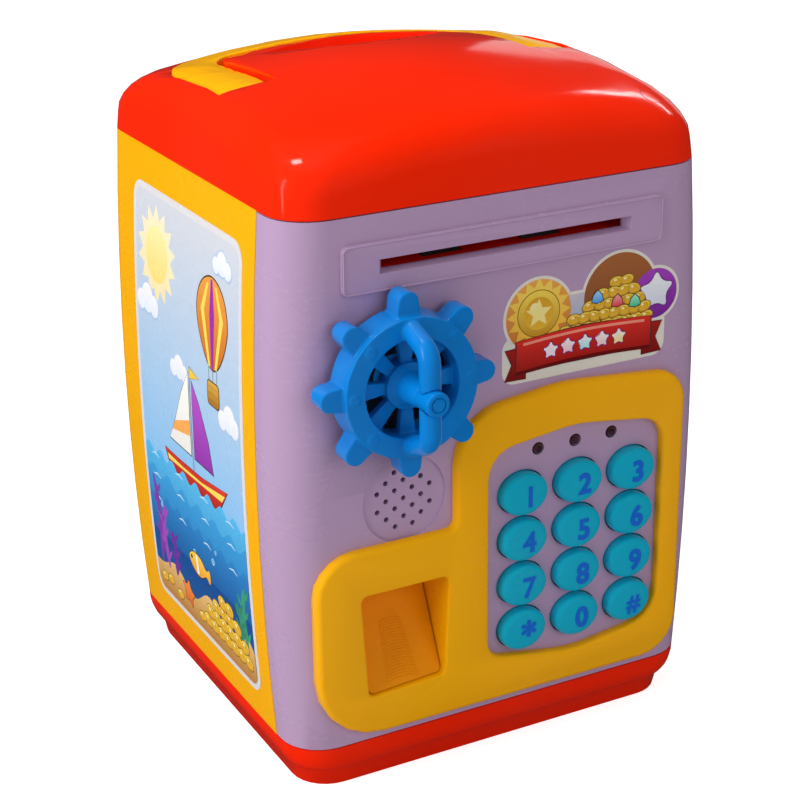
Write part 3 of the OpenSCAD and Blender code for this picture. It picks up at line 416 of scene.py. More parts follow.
class Recipe:
    """A Geometry Nodes tree that is built here, run once on named inputs and turned into a plain mesh."""

    def __init__(self, name: str) -> None:
        """Starts an empty tree with a geometry output.

        Args:
            name: Name of the tree.
        """
        self.tree = bpy.data.node_groups.new(name, "GeometryNodeTree")
        self.tree.interface.new_socket("Geometry", in_out="OUTPUT", socket_type="NodeSocketGeometry")
        self.entry = self.tree.nodes.new("NodeGroupInput")
        self.exit = self.tree.nodes.new("NodeGroupOutput")
        self.identifiers: dict[str, str] = {}

    def size(self, name: str, default: float | int | str, kind: str = "Float") -> Socket:
        """Adds a named input.

        Args:
            name: Name of the input.
            default: Its default value.
            kind: Float, Int or String.

        Returns:
            The socket that carries it in the tree.
        """
        socket = self.tree.interface.new_socket(name, in_out="INPUT", socket_type=f"NodeSocket{kind}")
        socket.default_value = default
        self.identifiers[name] = socket.identifier
        return self.entry.outputs[name]

    def add(self, kind: str, inputs: dict[str | int, object] | None = None, **settings: object) -> Socket:
        """Adds a node.

        Args:
            kind: Node type after GeometryNode, or a whole type name that starts with Shader.
            inputs: Value or source socket of each input.
            settings: Properties of the node.

        Returns:
            The node's first output.
        """
        node = self.tree.nodes.new(kind if kind.startswith("Shader") else f"GeometryNode{kind}")
        for name, value in settings.items():
            setattr(node, name, value)
        for name, value in (inputs or {}).items():
            if isinstance(value, Socket):
                self.tree.links.new(value, node.inputs[name])
            else:
                node.inputs[name].default_value = value
        return node.outputs[0]

    def maths(self, operation: str, a: object, b: object = 0.0) -> Socket:
        """Adds a maths node and returns its result."""
        return self.add("ShaderNodeMath", {0: a, 1: b}, operation=operation)

    def place(self, x: object = 0.0, y: object = 0.0, z: object = 0.0) -> Socket:
        """Joins three numbers to a vector."""
        return self.add("ShaderNodeCombineXYZ", {0: x, 1: y, 2: z})

    def move(
        self, geometry: Socket, by: object = ORIGIN, turn: object = ORIGIN, scale: object = UNIT
    ) -> Socket:
        """Moves, turns and scales geometry and returns it."""
        inputs = {"Geometry": geometry, "Translation": by, "Rotation": turn, "Scale": scale}
        return self.add("Transform", inputs)

    def join(self, *parts: Socket) -> Socket:
        """Joins geometries."""
        whole = self.add("JoinGeometry")
        for part in parts:
            self.tree.links.new(part, whole.node.inputs[0])
        return whole

    def cut(self, body: Socket, tool: Socket) -> Socket:
        """Cuts a closed mesh out of another."""
        meshes = {"Mesh 1": body, "Mesh 2": tool}
        return self.add("MeshBoolean", meshes, operation="DIFFERENCE", solver="EXACT")

    def rod(self, sides: int, radius: object, depth: object) -> Socket:
        """Adds a cylinder along Z about its own middle."""
        return self.add("MeshCylinder", {"Vertices": sides, "Radius": radius, "Depth": depth})

    def arc(self, steps: int, radius: float, start: float, sweep: float) -> Socket:
        """Adds an arc in the XY plane, its angles in radians."""
        angles = {"Start Angle": start, "Sweep Angle": sweep}
        return self.add("CurveArc", {"Resolution": steps, "Radius": radius, **angles}, mode="RADIUS")

    def spiral(self, steps: int, turns: object, radius: object, height: object) -> Socket:
        """Adds a helix along Z with a number of steps in each turn."""
        sizes = {"Start Radius": radius, "End Radius": radius, "Height": height}
        return self.add("CurveSpiral", {"Resolution": steps, "Rotations": turns, **sizes})

    def tube(self, curve: Socket, radius: object, sides: int) -> Socket:
        """Sweeps a circle along a curve and closes the ends."""
        ring = self.add("CurvePrimitiveCircle", {"Resolution": sides, "Radius": radius}, mode="RADIUS")
        return self.add("CurveToMesh", {"Curve": curve, "Profile Curve": ring, "Fill Caps": True})

    def plate(self, curve: Socket, thick: object, single: bool = False) -> Socket:
        """Fills a closed curve and gives it thickness.

        Args:
            curve: The curve.
            thick: Thickness of the plate.
            single: Whether each face of the fill is raised on its own.

        Returns:
            The closed plate, with its foot at the curve.
        """
        fill = self.add("FillCurve", {0: curve})
        top = self.add("ExtrudeMesh", {"Mesh": fill, "Offset Scale": thick, "Individual": single})
        return self.join(top, self.add("FlipFaces", {0: fill}))

    def close(self, geometry: Socket, material: Material) -> None:
        """Ends the tree: scales millimetres to metres, makes instances real and sets the material."""
        metres = self.move(geometry, scale=(MM, MM, MM))
        real = self.add("RealizeInstances", {0: metres})
        done = self.add("SetMaterial", {"Geometry": real, "Material": material})
        self.tree.links.new(done, self.exit.inputs[0])

    def run(
        self,
        name: str,
        inputs: dict[str, float | int | str] | None = None,
        extra: Callable[[Piece], None] | None = None,
    ) -> Piece:
        """Runs the tree and returns a plain mesh object.

        Args:
            name: Name of the piece.
            inputs: Values of the named inputs.
            extra: Adds further modifiers before the mesh is taken.

        Returns:
            The piece, with no modifier left on it.
        """
        carrier = new_object(name + "_recipe", bpy.data.meshes.new(name + "_recipe"))
        modifier = carrier.modifiers.new("recipe", "NODES")
        modifier.node_group = self.tree
        for key, value in (inputs or {}).items():
            modifier[self.identifiers[key]] = value
        if extra:
            extra(carrier)
        return bake(carrier, name)


def new_object(name: str, mesh: bpy.types.ID) -> Piece:
    """Links a new object to the scene and returns it."""
    obj = bpy.data.objects.new(name, mesh)
    bpy.context.scene.collection.objects.link(obj)
    return obj


def bake(carrier: Piece, name: str) -> Piece:
    """Turns an object with modifiers into a plain mesh object.

    Args:
        carrier: The object, which is removed.
        name: Name of the result.

    Returns:
        The plain mesh object.
    """
    bpy.context.view_layer.update()
    graph = bpy.context.evaluated_depsgraph_get()
    final = carrier.evaluated_get(graph)
    mesh = bpy.data.meshes.new_from_object(final, preserve_all_data_layers=True, depsgraph=graph)
    bpy.data.objects.remove(carrier)
    mesh.name = name
    return new_object(name, mesh)


def shade(obj: Piece, angle: float = 32.0) -> Piece:
    """Shades a piece smooth, with edges past the angle in degrees kept sharp."""
    obj.data.shade_smooth()
    obj.data.set_sharp_from_angle(angle=math.radians(angle))
    return obj


def paint(obj: Piece, material: Material) -> Piece:
    """Gives an object one material and returns the object."""
    obj.data.materials.clear()
    obj.data.materials.append(material)
    return obj


def melt(carrier: Piece, voxel: float, rounds: int) -> None:
    """Adds the modifiers that turn an object's parts into one skin with soft corners.

    Args:
        carrier: The object.
        voxel: Size of the skin's cells in millimetres.
        rounds: How often the skin is smoothed.
    """
    remesh = carrier.modifiers.new("one skin", "REMESH")
    remesh.mode = "VOXEL"
    remesh.voxel_size = voxel * MM
    smooth = carrier.modifiers.new("soft corners", "SMOOTH")
    smooth.factor = 0.5
    smooth.iterations = rounds


def round_edges(obj: Piece, width: float, angle: float) -> None:
    """Adds a small rolled edge.

    Args:
        obj: The piece.
        width: Width of the roll.
        angle: Edges sharper than this many degrees are rolled.
    """
    bevel = obj.modifiers.new("rolled edges", "BEVEL")
    bevel.width = width * MM
    bevel.segments = ROLL_FACETS
    bevel.limit_method = "ANGLE"
    bevel.angle_limit = math.radians(angle)
    bevel.harden_normals = True
    bevel.use_clamp_overlap = True


def smooth_step(value: float, start: float, stop: float) -> float:
    """Rises softly from 0 at start to 1 at stop."""
    t = min(1.0, max(0.0, (value - start) / (stop - start)))
    return t * t * (3 - 2 * t)


def shift(piece: Piece, rule: Callable[[Vector, Vector], Vector]) -> None:
    """Moves each vertex of a piece by what the rule gives for its place and normal, in millimetres."""
    steps = [rule(vertex.co / MM, vertex.normal) for vertex in piece.data.vertices]
    for vertex, step in zip(piece.data.vertices, steps):
        vertex.co += step * MM


def laid_wire(piece: Piece, name: str, starts: Sequence[Vector], way: Vector, radius: float) -> Piece:
    """Lays a closed round wire on a piece.

    Args:
        piece: The piece on which the wire lies.
        name: Name of the wire.
        starts: Points in millimetres off the piece, one for each point of the wire.
        way: Direction from the points to the piece.
        radius: Radius of the wire in millimetres.

    Returns:
        The wire, as a plain mesh object.
    """
    mesh = piece.data
    tree = BVHTree.FromPolygons([v.co for v in mesh.vertices], [p.vertices for p in mesh.polygons])
    curve = bpy.data.curves.new(name, "CURVE")
    curve.dimensions = "3D"
    curve.bevel_depth = radius * MM
    curve.bevel_resolution = 2
    spline = curve.splines.new("POLY")
    spline.points.add(len(starts) - 1)
    for point, start in zip(spline.points, starts):
        point.co = (*tree.ray_cast(start * MM, way)[0], 1)
    spline.use_cyclic_u = True
    return shade(bake(new_object(name + "_curve", curve), name), 80)


def refined(frame: dict, node: str, width: float, angle: float = 38.0) -> Piece:
    """Copies a CAD node, welds it, merges its flat facets, rolls its edges and shades it smooth.

    Args:
        frame: The loaded frame.
        node: Name of the node.
        width: Width of the rolled edges.
        angle: Edges sharper than this many degrees are rolled.

    Returns:
        The piece, as a plain mesh object.
    """
    work = bmesh.new()
    work.from_mesh(frame["nodes"][node].data)
    bmesh.ops.remove_doubles(work, verts=work.verts, dist=WELD)
    bmesh.ops.dissolve_degenerate(work, dist=SLIVER, edges=work.edges)
    bmesh.ops.dissolve_limit(work, angle_limit=math.radians(FLAT), verts=work.verts, edges=work.edges)
    mesh = bpy.data.meshes.new(node + "_shape")
    work.to_mesh(mesh)
    work.free()
    carrier = shade(new_object(node + "_carrier", mesh), angle)
    if width:
        round_edges(carrier, width, angle)
    return bake(carrier, node + "_moulding")


# Print. Flat shapes are laid in layers on the bulging casing.


@dataclass(frozen=True)
class BodyCurve:
    """The bulging casing as the CAD model has it."""

    foot: float = 14.3
    seam: float = 169.4
    widths: Triple = (130.0, 137.3, 132.1)
    depths: Triple = (131.7, 129.2, 127.8)
    corner: float = 12.6

    def _through(self, sizes: Triple, z: float) -> float:
        """Half of a size at height z, on the parabola through its three values."""
        s = (self.seam - z) / (self.seam - self.foot)
        a, m, b = sizes
        return (a * (1 - s) * (1 - 2 * s) + 4 * m * s * (1 - s) + b * s * (2 * s - 1)) / 2

    def half_width(self, z: float) -> float:
        """Half width at height z."""
        return self._through(self.widths, z)

    def half_depth(self, z: float) -> float:
        """Half depth at height z."""
        return self._through(self.depths, z)

    def left(self, u: float, v: float, h: float) -> Vector:
        """Point on the left side: u forwards, v up, h off the surface."""
        return Vector((-self.half_width(v) - h, -u, v)) * MM

    def front(self, u: float, v: float, h: float) -> Vector:
        """Point on the front: u right, v up, h off the surface."""
        past = abs(u) - (self.half_width(v) - self.corner)
        drop = 0.0 if past <= 0 else self.corner - math.sqrt(max(self.corner**2 - past**2, 0.0))
        return Vector((u, -self.half_depth(v) + drop - h, v)) * MM


def circle_points(
    x: float, y: float, r: float, n: int = 40, squash: float = 1.0, turn: float = 0.0
) -> list[Point]:
    """Points round an ellipse.

    Args:
        x: Middle, across.
        y: Middle, up.
        r: Half width.
        n: Number of points.
        squash: Height against width.
        turn: Turn in degrees.

    Returns:
        The outline.
    """
    a = math.radians(turn)
    points = []
    for k in range(n):
        t = 2 * math.pi * k / n
        p, q = r * math.cos(t), r * squash * math.sin(t)
        points.append((x + p * math.cos(a) - q * math.sin(a), y + p * math.sin(a) + q * math.cos(a)))
    return points


def rounded_box(x0: float, y0: float, x1: float, y1: float, r: float, n: int = 8) -> list[Point]:
    """Outline of a rectangle with round corners, n steps each."""
    points = []
    for k, (cx, cy) in enumerate(((x1 - r, y1 - r), (x0 + r, y1 - r), (x0 + r, y0 + r), (x1 - r, y0 + r))):
        for i in range(n + 1):
            t = math.pi / 2 * (k + i / n)
            points.append((cx + r * math.cos(t), cy + r * math.sin(t)))
    return points


def star_points(
    x: float, y: float, r: float, arms: int = 5, inner: float = 0.45, turn: float = 90.0
) -> list[Point]:
    """Outline of a star.

    Args:
        x: Middle, across.
        y: Middle, up.
        r: Radius of its tips.
        arms: Number of tips.
        inner: Radius of its notches against that of its tips.
        turn: Direction of the first tip in degrees.

    Returns:
        The outline.
    """
    points = []
    for k in range(2 * arms):
        t = math.radians(turn) + math.pi * k / arms
        q = r if k % 2 == 0 else r * inner
        points.append((x + q * math.cos(t), y + q * math.sin(t)))
    return points


def rounded_path(points: Sequence[Point], rounds: int = 3) -> list[Point]:
    """Rounds a closed outline by cutting its corners a number of times."""
    ring = list(points)
    for _ in range(rounds):
        cut: list[Point] = []
        for (x0, y0), (x1, y1) in zip(ring, ring[1:] + ring[:1]):
            cut.append((x0 * 0.75 + x1 * 0.25, y0 * 0.75 + y1 * 0.25))
            cut.append((x0 * 0.25 + x1 * 0.75, y0 * 0.25 + y1 * 0.75))
        ring = cut
    return ring


class InkSheet:
    """A printed sheet: flat shapes in layers, wrapped on a surface as thin closed plates."""

    LAYER = 0.008  # millimetres between two layers
    STRIP = 6.0  # height of the strips that let the sheet bend
    DARK: Colour = (0.06, 0.03, 0.03)

    def __init__(self, surface: Surface, base: float) -> None:
        """Starts an empty sheet.

        Args:
            surface: Maps across, up and off to a point in metres.
            base: Thickness of the sheet under the first layer.
        """
        self.surface = surface
        self.base = base
        self.mesh = bmesh.new()
        self.ink = self.mesh.loops.layers.float_color.new("ink")

    def shape(self, outline: Sequence[Point], layer: int, low: Colour, high: Colour | None = None) -> None:
        """Adds a shape.

        Args:
            outline: Its points in order.
            layer: Its layer; a higher one covers a lower one.
            low: Ink at its foot.
            high: Ink at its head, or none for one ink.
        """
        high = high or low
        foot = min(p[1] for p in outline)
        head = max(p[1] for p in outline)
        area = sum(p[0] * q[1] - q[0] * p[1] for p, q in zip(outline, list(outline[1:]) + [outline[0]]))
        ring = list(outline) if area > 0 else list(reversed(outline))
        work = bmesh.new()
        work.faces.new([work.verts.new((x, y, 0)) for x, y in ring])
        strips = range(int(foot // self.STRIP) + 1, int(head // self.STRIP) + 1)
        for cut in [self.STRIP * k for k in strips]:
            whole = work.verts[:] + work.edges[:] + work.faces[:]
            bmesh.ops.bisect_plane(work, geom=whole, plane_co=(0, cut, 0), plane_no=(0, 1, 0), dist=1e-4)
        bmesh.ops.triangulate(work, faces=work.faces)
        work.normal_update()
        top = self.base + layer * self.LAYER
        seat = 0.0 if layer == 0 else self.base * 0.5
        upper = {v: self.mesh.verts.new(self.surface(v.co.x, v.co.y, top)) for v in work.verts}
        lower = {v: self.mesh.verts.new(self.surface(v.co.x, v.co.y, seat)) for v in work.verts}
        shades = {v: (v.co.y - foot) / max(head - foot, 1e-6) for v in work.verts}

        def face(corners: Iterable[bmesh.types.BMVert], sources: Iterable[bmesh.types.BMVert]) -> None:
            """Adds one face with its ink."""
            made = self.mesh.faces.new(corners)
            for loop, source in zip(made.loops, sources):
                t = shades[source]
                loop[self.ink] = (*(a + (b - a) * t for a, b in zip(low, high)), 1.0)

        for f in work.faces:
            turned = f.verts[:] if f.normal.z > 0 else list(reversed(f.verts[:]))
            face([upper[v] for v in turned], turned)
            face([lower[v] for v in reversed(turned)], list(reversed(turned)))
        for edge in work.edges:
            if len(edge.link_faces) == 1:
                loop = edge.link_loops[0]
                a, b = loop.vert, loop.link_loop_next.vert
                if edge.link_faces[0].normal.z < 0:
                    a, b = b, a
                face([upper[b], upper[a], lower[a], lower[b]], [b, a, a, b])
        work.free()

    def line(self, points: Sequence[Point], width: float, layer: int, colour: Colour) -> None:
        """Adds an open line of a width, tapered at its ends."""
        left: list[Point] = []
        right: list[Point] = []
        last = len(points) - 1
        for k, (x, y) in enumerate(points):
            x0, y0 = points[max(k - 1, 0)]
            x1, y1 = points[min(k + 1, last)]
            n = math.hypot(x1 - x0, y1 - y0) or 1.0
            w = width / 2 * (0.35 if k in (0, last) else 1.0)
            left.append((x - (y1 - y0) / n * w, y + (x1 - x0) / n * w))
            right.append((x + (y1 - y0) / n * w, y - (x1 - x0) / n * w))
        self.shape(left + right[::-1], layer, colour)

    def outlined(
        self,
        outline: Sequence[Point],
        layer: int,
        low: Colour,
        high: Colour | None = None,
        rim: float = 0.35,
        ink: Colour = DARK,
    ) -> None:
        """Adds a shape over a slightly larger dark one.

        Args:
            outline: Its points in order.
            layer: Layer of the dark shape; the shape itself lies one higher.
            low: Ink at its foot.
            high: Ink at its head, or none for one ink.
            rim: Width of the dark rim.
            ink: Ink of the rim.
        """
        cx = sum(p[0] for p in outline) / len(outline)
        cy = sum(p[1] for p in outline) / len(outline)
        grown = []
        for x, y in outline:
            n = math.hypot(x - cx, y - cy) or 1.0
            grown.append((x + (x - cx) / n * rim, y + (y - cy) / n * rim))
        self.shape(grown, layer, ink)
        self.shape(outline, layer + 1, low, high)

    def coin(
        self, x: float, y: float, r: float, layer: int, squash: float = 1.0, turn: float = 0.0
    ) -> None:
        """Adds a plain gold coin with a rim, a darker field and a highlight.

        Args:
            x: Middle, across.
            y: Middle, up.
            r: Half width.
            layer: Lowest of the four layers that it takes.
            squash: Height against width.
            turn: Turn in degrees.
        """
        edge = circle_points(x, y, r, 28, squash, turn)
        self.outlined(edge, layer, (0.62, 0.3, 0.02), (0.98, 0.72, 0.1), 0.25, (0.25, 0.12, 0.01))
        inside = circle_points(x, y, r * 0.72, 24, squash, turn)
        self.shape(inside, layer + 2, (0.86, 0.5, 0.04), (0.74, 0.38, 0.02))
        gleam = circle_points(x - r * 0.2, y + r * 0.25, r * 0.24, 12, squash, turn)
        self.shape(gleam, layer + 3, (1.0, 0.88, 0.42))

    def finish(self, name: str, material: Material) -> Piece:
        """Makes the sheet an object.

        Args:
            name: Name of the piece.
            material: Its finish.

        Returns:
            The piece.
        """
        mesh = bpy.data.meshes.new(name)
        self.mesh.normal_update()
        self.mesh.to_mesh(mesh)
        self.mesh.free()
        mesh.materials.append(material)
        return new_object(name, mesh)


# Sub-assemblies of the bank.


@dataclass
class Assembly:
    """A sub-assembly of the bank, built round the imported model."""

    frame: dict
    palette: Palette
    curve: BodyCurve = field(default_factory=BodyCurve)

    def dress(self, slot: Slot, *nodes: str) -> None:
        """Gives CAD nodes the finish of a slot."""
        for node in nodes:
            paint(self.frame["nodes"][node], self.palette.get(slot))
            LOG.info("%s: dressed in %s", node, slot.value)

    def keep(self, piece: Piece, body: str, slot: Slot, *nodes: str) -> Piece:
        """Ties a piece to its body and hides the nodes that it stands for.

        Args:
            piece: The finished piece.
            body: Body that it moves with.
            slot: Material slot; not used.
            nodes: CAD nodes that it replaces.

        Returns:
            The piece.
        """
        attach(piece, body)
        if nodes:
            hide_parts(*nodes)
        LOG.info("%s: %d faces on %s", piece.name, len(piece.data.polygons), body)
        return piece

    def mould(self, node: str, body: str, slot: Slot, width: float, angle: float = 38.0) -> Piece:
        """Replaces a CAD node by its welded copy with rolled edges.

        Args:
            node: Name of the node.
            body: Body that it moves with.
            slot: Material slot.
            width: Width of the rolled edges.
            angle: Edges sharper than this many degrees are rolled.

        Returns:
            The piece.
        """
        piece = refined(self.frame, node, width, angle)
        return self.keep(paint(piece, self.palette.get(slot)), body, slot, node)


@dataclass
class Casing(Assembly):
    """Yellow casing, red base, lid, coin chute and their screws."""

    edge: float = 0.3
    arm: Point = (42.5, 57.0)
    arm_end: Point = (24.0, 38.0)
    crown: Point = (0.45, 1.2)
    bar_rise: float = 1.1
    bar_start: Point = (12.0, 38.0)
    handle_voxel: float = 0.45
    mark: Triple = (52.2, -54.4, 2.9)
    mark_wire: float = 0.09
    above: float = 300.0
    screw_shank: float = 1.5
    screw_head: float = 2.7

    def build(self) -> None:
        """Builds and dresses the fixed pieces."""
        self.mould("body_shell", "casing", Slot.YELLOW, self.edge)
        self.mould("base_tray", "casing", Slot.RED, self.edge, 50)
        self.hinge_mark(self.mould("lid_cover", "casing", Slot.RED, self.edge, 42))
        self.handle()
        self.mould("battery_cover", "casing", Slot.RED, 0.2)
        self.dress(Slot.RED, "coin_chute")
        self.dress(Slot.STEEL, "hinge_pins", "handle_pins", "battery_screw", "battery_contacts")
        self.dress(Slot.CELL, "battery_cells")
        self.dress(Slot.DARK, "switch_body")
        self.mould("switch_knob", "switch", Slot.DARK, 0.2)
        self.screws("lid_screws", (0.0, 4.0), (96.0, 80.0), 167.0, 10.4)
        self.screws("base_screws", (0.0, 10.0), (112.0, 80.0), 6.0, 18.0)

    def hinge_mark(self, lid: Piece) -> None:
        """Draws the fine round parting line over the hinge pin on the lid.

        Args:
            lid: The finished lid, on whose surface the line lies.
        """
        x, y, r = self.mark
        ring = [Vector((px, py, self.above)) for px, py in circle_points(x, y, r, 48)]
        line = laid_wire(lid, "hinge_mark", ring, Vector((0, 0, -1)), self.mark_wire)
        self.keep(paint(line, self.palette.finish(Palette.SEAM)), "casing", Slot.RED)

    def handle(self) -> None:
        """Replaces the carry handle by one with a rising cross bar and crowned arms."""
        carrier = refined(self.frame, "carry_handle", 0.0)
        melt(carrier, self.handle_voxel, 4)
        piece = shade(bake(carrier, "carry_handle_crowned"), 180)
        middle, half = (self.arm[0] + self.arm[1]) / 2, (self.arm[1] - self.arm[0]) / 2

        def rise(p: Vector, n: Vector) -> Vector:
            """Rise of the skin at a place with a normal."""
            across = min(1.0, abs(abs(p.x) - middle) / half)
            crown = self.crown[0] - self.crown[1] * across ** 2
            crown *= 1 - smooth_step(p.y, *self.arm_end)
            crown *= smooth_step(n.z, 0.1, 0.7)
            return Vector((0, 0, crown + self.bar_rise * smooth_step(p.y, *self.bar_start)))

        shift(piece, rise)
        self.keep(paint(piece, self.palette.get(Slot.YELLOW)), "handle", Slot.YELLOW, "carry_handle")

    def screws(self, node: str, middle: Point, spread: Point, seat: float, length: float) -> None:
        """Builds four pan-head screws on a rectangle, heads down.

        Args:
            node: Node that they replace.
            middle: Middle of the rectangle.
            spread: Its width and depth.
            seat: Height of the heads' seat.
            length: Length of the shank.
        """
        r = Recipe("screw_set")
        head = r.size("Head radius", self.screw_head)
        shank = r.size("Shank radius", self.screw_shank)
        long = r.size("Length", length)
        turns = r.size("Turns", 9, "Int")
        core = r.maths("MULTIPLY", shank, 0.9)
        shaft = r.move(r.rod(20, core, long), r.place(0, 0, r.maths("MULTIPLY", long, 0.5)))
        helix = r.spiral(16, turns, core, r.maths("MULTIPLY", long, 0.86))
        thread = r.tube(helix, r.maths("MULTIPLY", shank, 0.1), 4)
        pan = r.move(r.rod(28, head, 1.8), (0.0, 0.0, -0.9))
        bar = r.add("MeshCube", {"Size": r.place(r.maths("MULTIPLY", head, 1.2), 0.75, 2.0)})
        sunk = (0, 0, -1.9)
        cross = r.join(r.move(bar, sunk), r.move(bar, sunk, (0, 0, math.pi / 2)))
        wide = r.size("Spread across", spread[0])
        deep = r.size("Spread front to back", spread[1])
        grid = r.add("MeshGrid", {"Size X": wide, "Size Y": deep, "Vertices X": 2, "Vertices Y": 2})
        screw = r.join(shaft, thread, r.cut(pan, cross))
        spots = r.add("InstanceOnPoints", {"Points": grid, "Instance": screw})
        r.close(r.move(spots, (middle[0], middle[1], seat)), self.palette.get(Slot.STEEL))
        self.keep(shade(r.run(node + "_set"), 30), "casing", Slot.STEEL, node)


@dataclass
class SideLabel(Assembly):
    """Rounded label on the left side: sky, balloon and boat over a sea floor with coins."""

    GOLD = (0.95, 0.72, 0.12)

    half: float = 40.5
    foot: float = 22.7
    head: float = 158.5
    corner: float = 6.0
    border: float = 2.0

    def build(self) -> None:
        """Draws the label from back to front."""
        s = InkSheet(self.curve.left, 0.06)
        s.shape(rounded_box(-self.half, self.foot, self.half, self.head, self.corner), 0, (0.74, 0.72, 0.74))
        self.sky(s)
        self.balloon(s)
        self.boat(s)
        self.sea(s)
        self.floor(s)
        piece = s.finish("side_label_print", self.palette.get(Slot.SIDE_PRINT))
        self.keep(piece, "casing", Slot.SIDE_PRINT, "side_label")

    def sky(self, s: InkSheet) -> None:
        """Draws the sky, sun and clouds."""
        b = self.border
        w = self.half - b
        sky = rounded_box(-w, 68, w, self.head - b, self.corner - b)
        s.shape(sky, 1, (0.24, 0.55, 0.9), (0.66, 0.68, 0.74))
        s.shape(star_points(-22, 139, 15, 14, 0.72), 2, (0.95, 0.78, 0.42), (0.98, 0.86, 0.6))
        s.shape(circle_points(-22, 139, 8.6, 36), 3, (0.98, 0.72, 0.2), (1.0, 0.86, 0.4))
        clouds = ((-30, 122, 1.0), (27, 148, 0.75), (-6, 108, 0.8), (31, 104, 0.9))
        puffs = ((-5.5, 0, 3.2), (0, 1.7, 4.6), (5.2, 0.2, 3.4))
        coats = (
            (4, 0.6, (0.42, 0.55, 0.78), (0.52, 0.62, 0.82)),
            (5, 0.0, (0.78, 0.84, 0.94), (0.93, 0.93, 0.95)),
        )
        for x, y, k in clouds:
            for layer, grow, low, high in coats:
                for dx, dy, r in puffs:
                    x1 = max(-w + 3.2 * k + grow, min(w - 4.6 * k - grow, x + dx * k))
                    s.shape(circle_points(x1, y + dy * k, r * k + grow, 28), layer, low, high)

    def balloon(self, s: InkSheet) -> None:
        """Draws a striped balloon with its basket."""
        x, y, r = 20.0, 132.0, 11.5
        left = [(-r, 1), (-r * 0.8, -7), (-3.2, -15)]
        right = [(3.2, -15), (r * 0.8, -7), (r, 1), (r * 0.7, 9), (0, 12.5), (-r * 0.7, 9)]
        envelope = rounded_path([(x + dx, y + dy) for dx, dy in left + right])
        s.outlined(envelope, 6, (0.62, 0.16, 0.02), (0.9, 0.36, 0.06), 0.45)
        for k, ink in ((-0.62, self.GOLD), (0.0, (0.36, 0.03, 0.42)), (0.62, self.GOLD)):
            foot, waist, top = x + k * 3.6, x + k * r * 0.95, x + k * 4.5
            wide, crown = 1.7 * (1 - abs(k) * 0.4), y + 11.2 - abs(k) * 2.6
            stripe = [(waist - wide, y + 1), (foot - 0.7, y - 14.6), (foot + 0.7, y - 14.6)]
            stripe += [(waist + wide, y + 1), (top + 0.6, crown), (top - 0.6, crown)]
            s.shape(stripe, 8, ink)
        for dx in (-3.0, 0.0, 3.0):
            s.line([(x + dx, y - 14.8), (x + dx * 0.9, y - 19.6)], 0.45, 8, (0.12, 0.06, 0.03))
        basket = rounded_box(x - 4, y - 26, x + 4, y - 19, 1.4)
        s.outlined(basket, 8, (0.42, 0.17, 0.02), (0.72, 0.42, 0.06), 0.4)
        for row in range(3):
            weave = [(x - 3.6, y - 24.6 + 2 * row), (x + 3.6, y - 24.6 + 2 * row)]
            s.line(weave, 0.4, 10, (0.3, 0.12, 0.02))

    def boat(self, s: InkSheet) -> None:
        """Draws a small sailing boat."""
        hull = [(-21, 79), (-15, 70), (17, 70), (27, 82), (8, 79.5), (-8, 79)]
        s.outlined(hull, 6, (0.35, 0.012, 0.01), (0.78, 0.05, 0.03), 0.5)
        rail = [(-19.4, 77.6), (-18.4, 76), (22.8, 77.6), (25.2, 80.2), (8, 77.9), (-8, 77.4)]
        s.shape(rail, 8, self.GOLD)
        s.line([(2, 79), (2, 112)], 1.1, 7, (0.32, 0.13, 0.03))
        pale_sail = [(0.8, 110), (0.8, 84), (-16, 84), (-10.5, 92), (-5, 102)]
        s.outlined(pale_sail, 8, (0.86, 0.84, 0.8), (0.98, 0.96, 0.9), 0.45)
        purple_sail = [(3.4, 108), (3.4, 84), (17.5, 84), (14.5, 93), (9, 102)]
        s.outlined(purple_sail, 8, (0.3, 0.04, 0.42), (0.5, 0.1, 0.62), 0.45)
        s.shape([(0.6, 95), (0.6, 90), (-13.6, 87.5), (-11.2, 91)], 10, (0.95, 0.42, 0.1))
        s.outlined([(2, 112), (2, 108.6), (9, 110.4)], 8, (0.95, 0.6, 0.06), None, 0.3)

    def sea(self, s: InkSheet) -> None:
        """Draws the water in three waved bands, and bubbles."""
        w = self.half - self.border
        xs = [w - 2 * w * k / 48 for k in range(49)]
        bands = (
            (74.5, 1.3, 9.5, (0.02, 0.16, 0.5), (0.1, 0.5, 0.85), 12),
            (67.5, 1.6, 12.0, (0.01, 0.12, 0.42), (0.05, 0.36, 0.74), 13),
            (59.5, 1.4, 8.5, (0.01, 0.08, 0.32), (0.03, 0.24, 0.6), 14),
        )
        for top, swell, pitch, low, high, layer in bands:
            crest = [(x, top + swell * math.sin(2 * math.pi * x / pitch)) for x in xs]
            s.shape([(-w, 40), (w, 40)] + crest, layer, low, high)
            for k in range(4):
                x = -w + 8 + 19.4 * k
                glint = [(x - 3, top - 1.9), (x, top - 1.2), (x + 3, top - 1.9)]
                s.line(glint, 0.55, layer + 3, (0.62, 0.82, 0.96))
        bubbles = (
            (-31, 52, 1.3), (-28.5, 56.5, 0.8), (12, 54, 1.1), (14.6, 58, 0.7), (33, 50, 1.2), (-3, 51, 0.9)
        )
        for x, y, r in bubbles:
            s.shape(circle_points(x, y, r, 18), 17, (0.45, 0.75, 0.95))
            s.shape(circle_points(x, y, r * 0.66, 14), 18, (0.1, 0.4, 0.75))

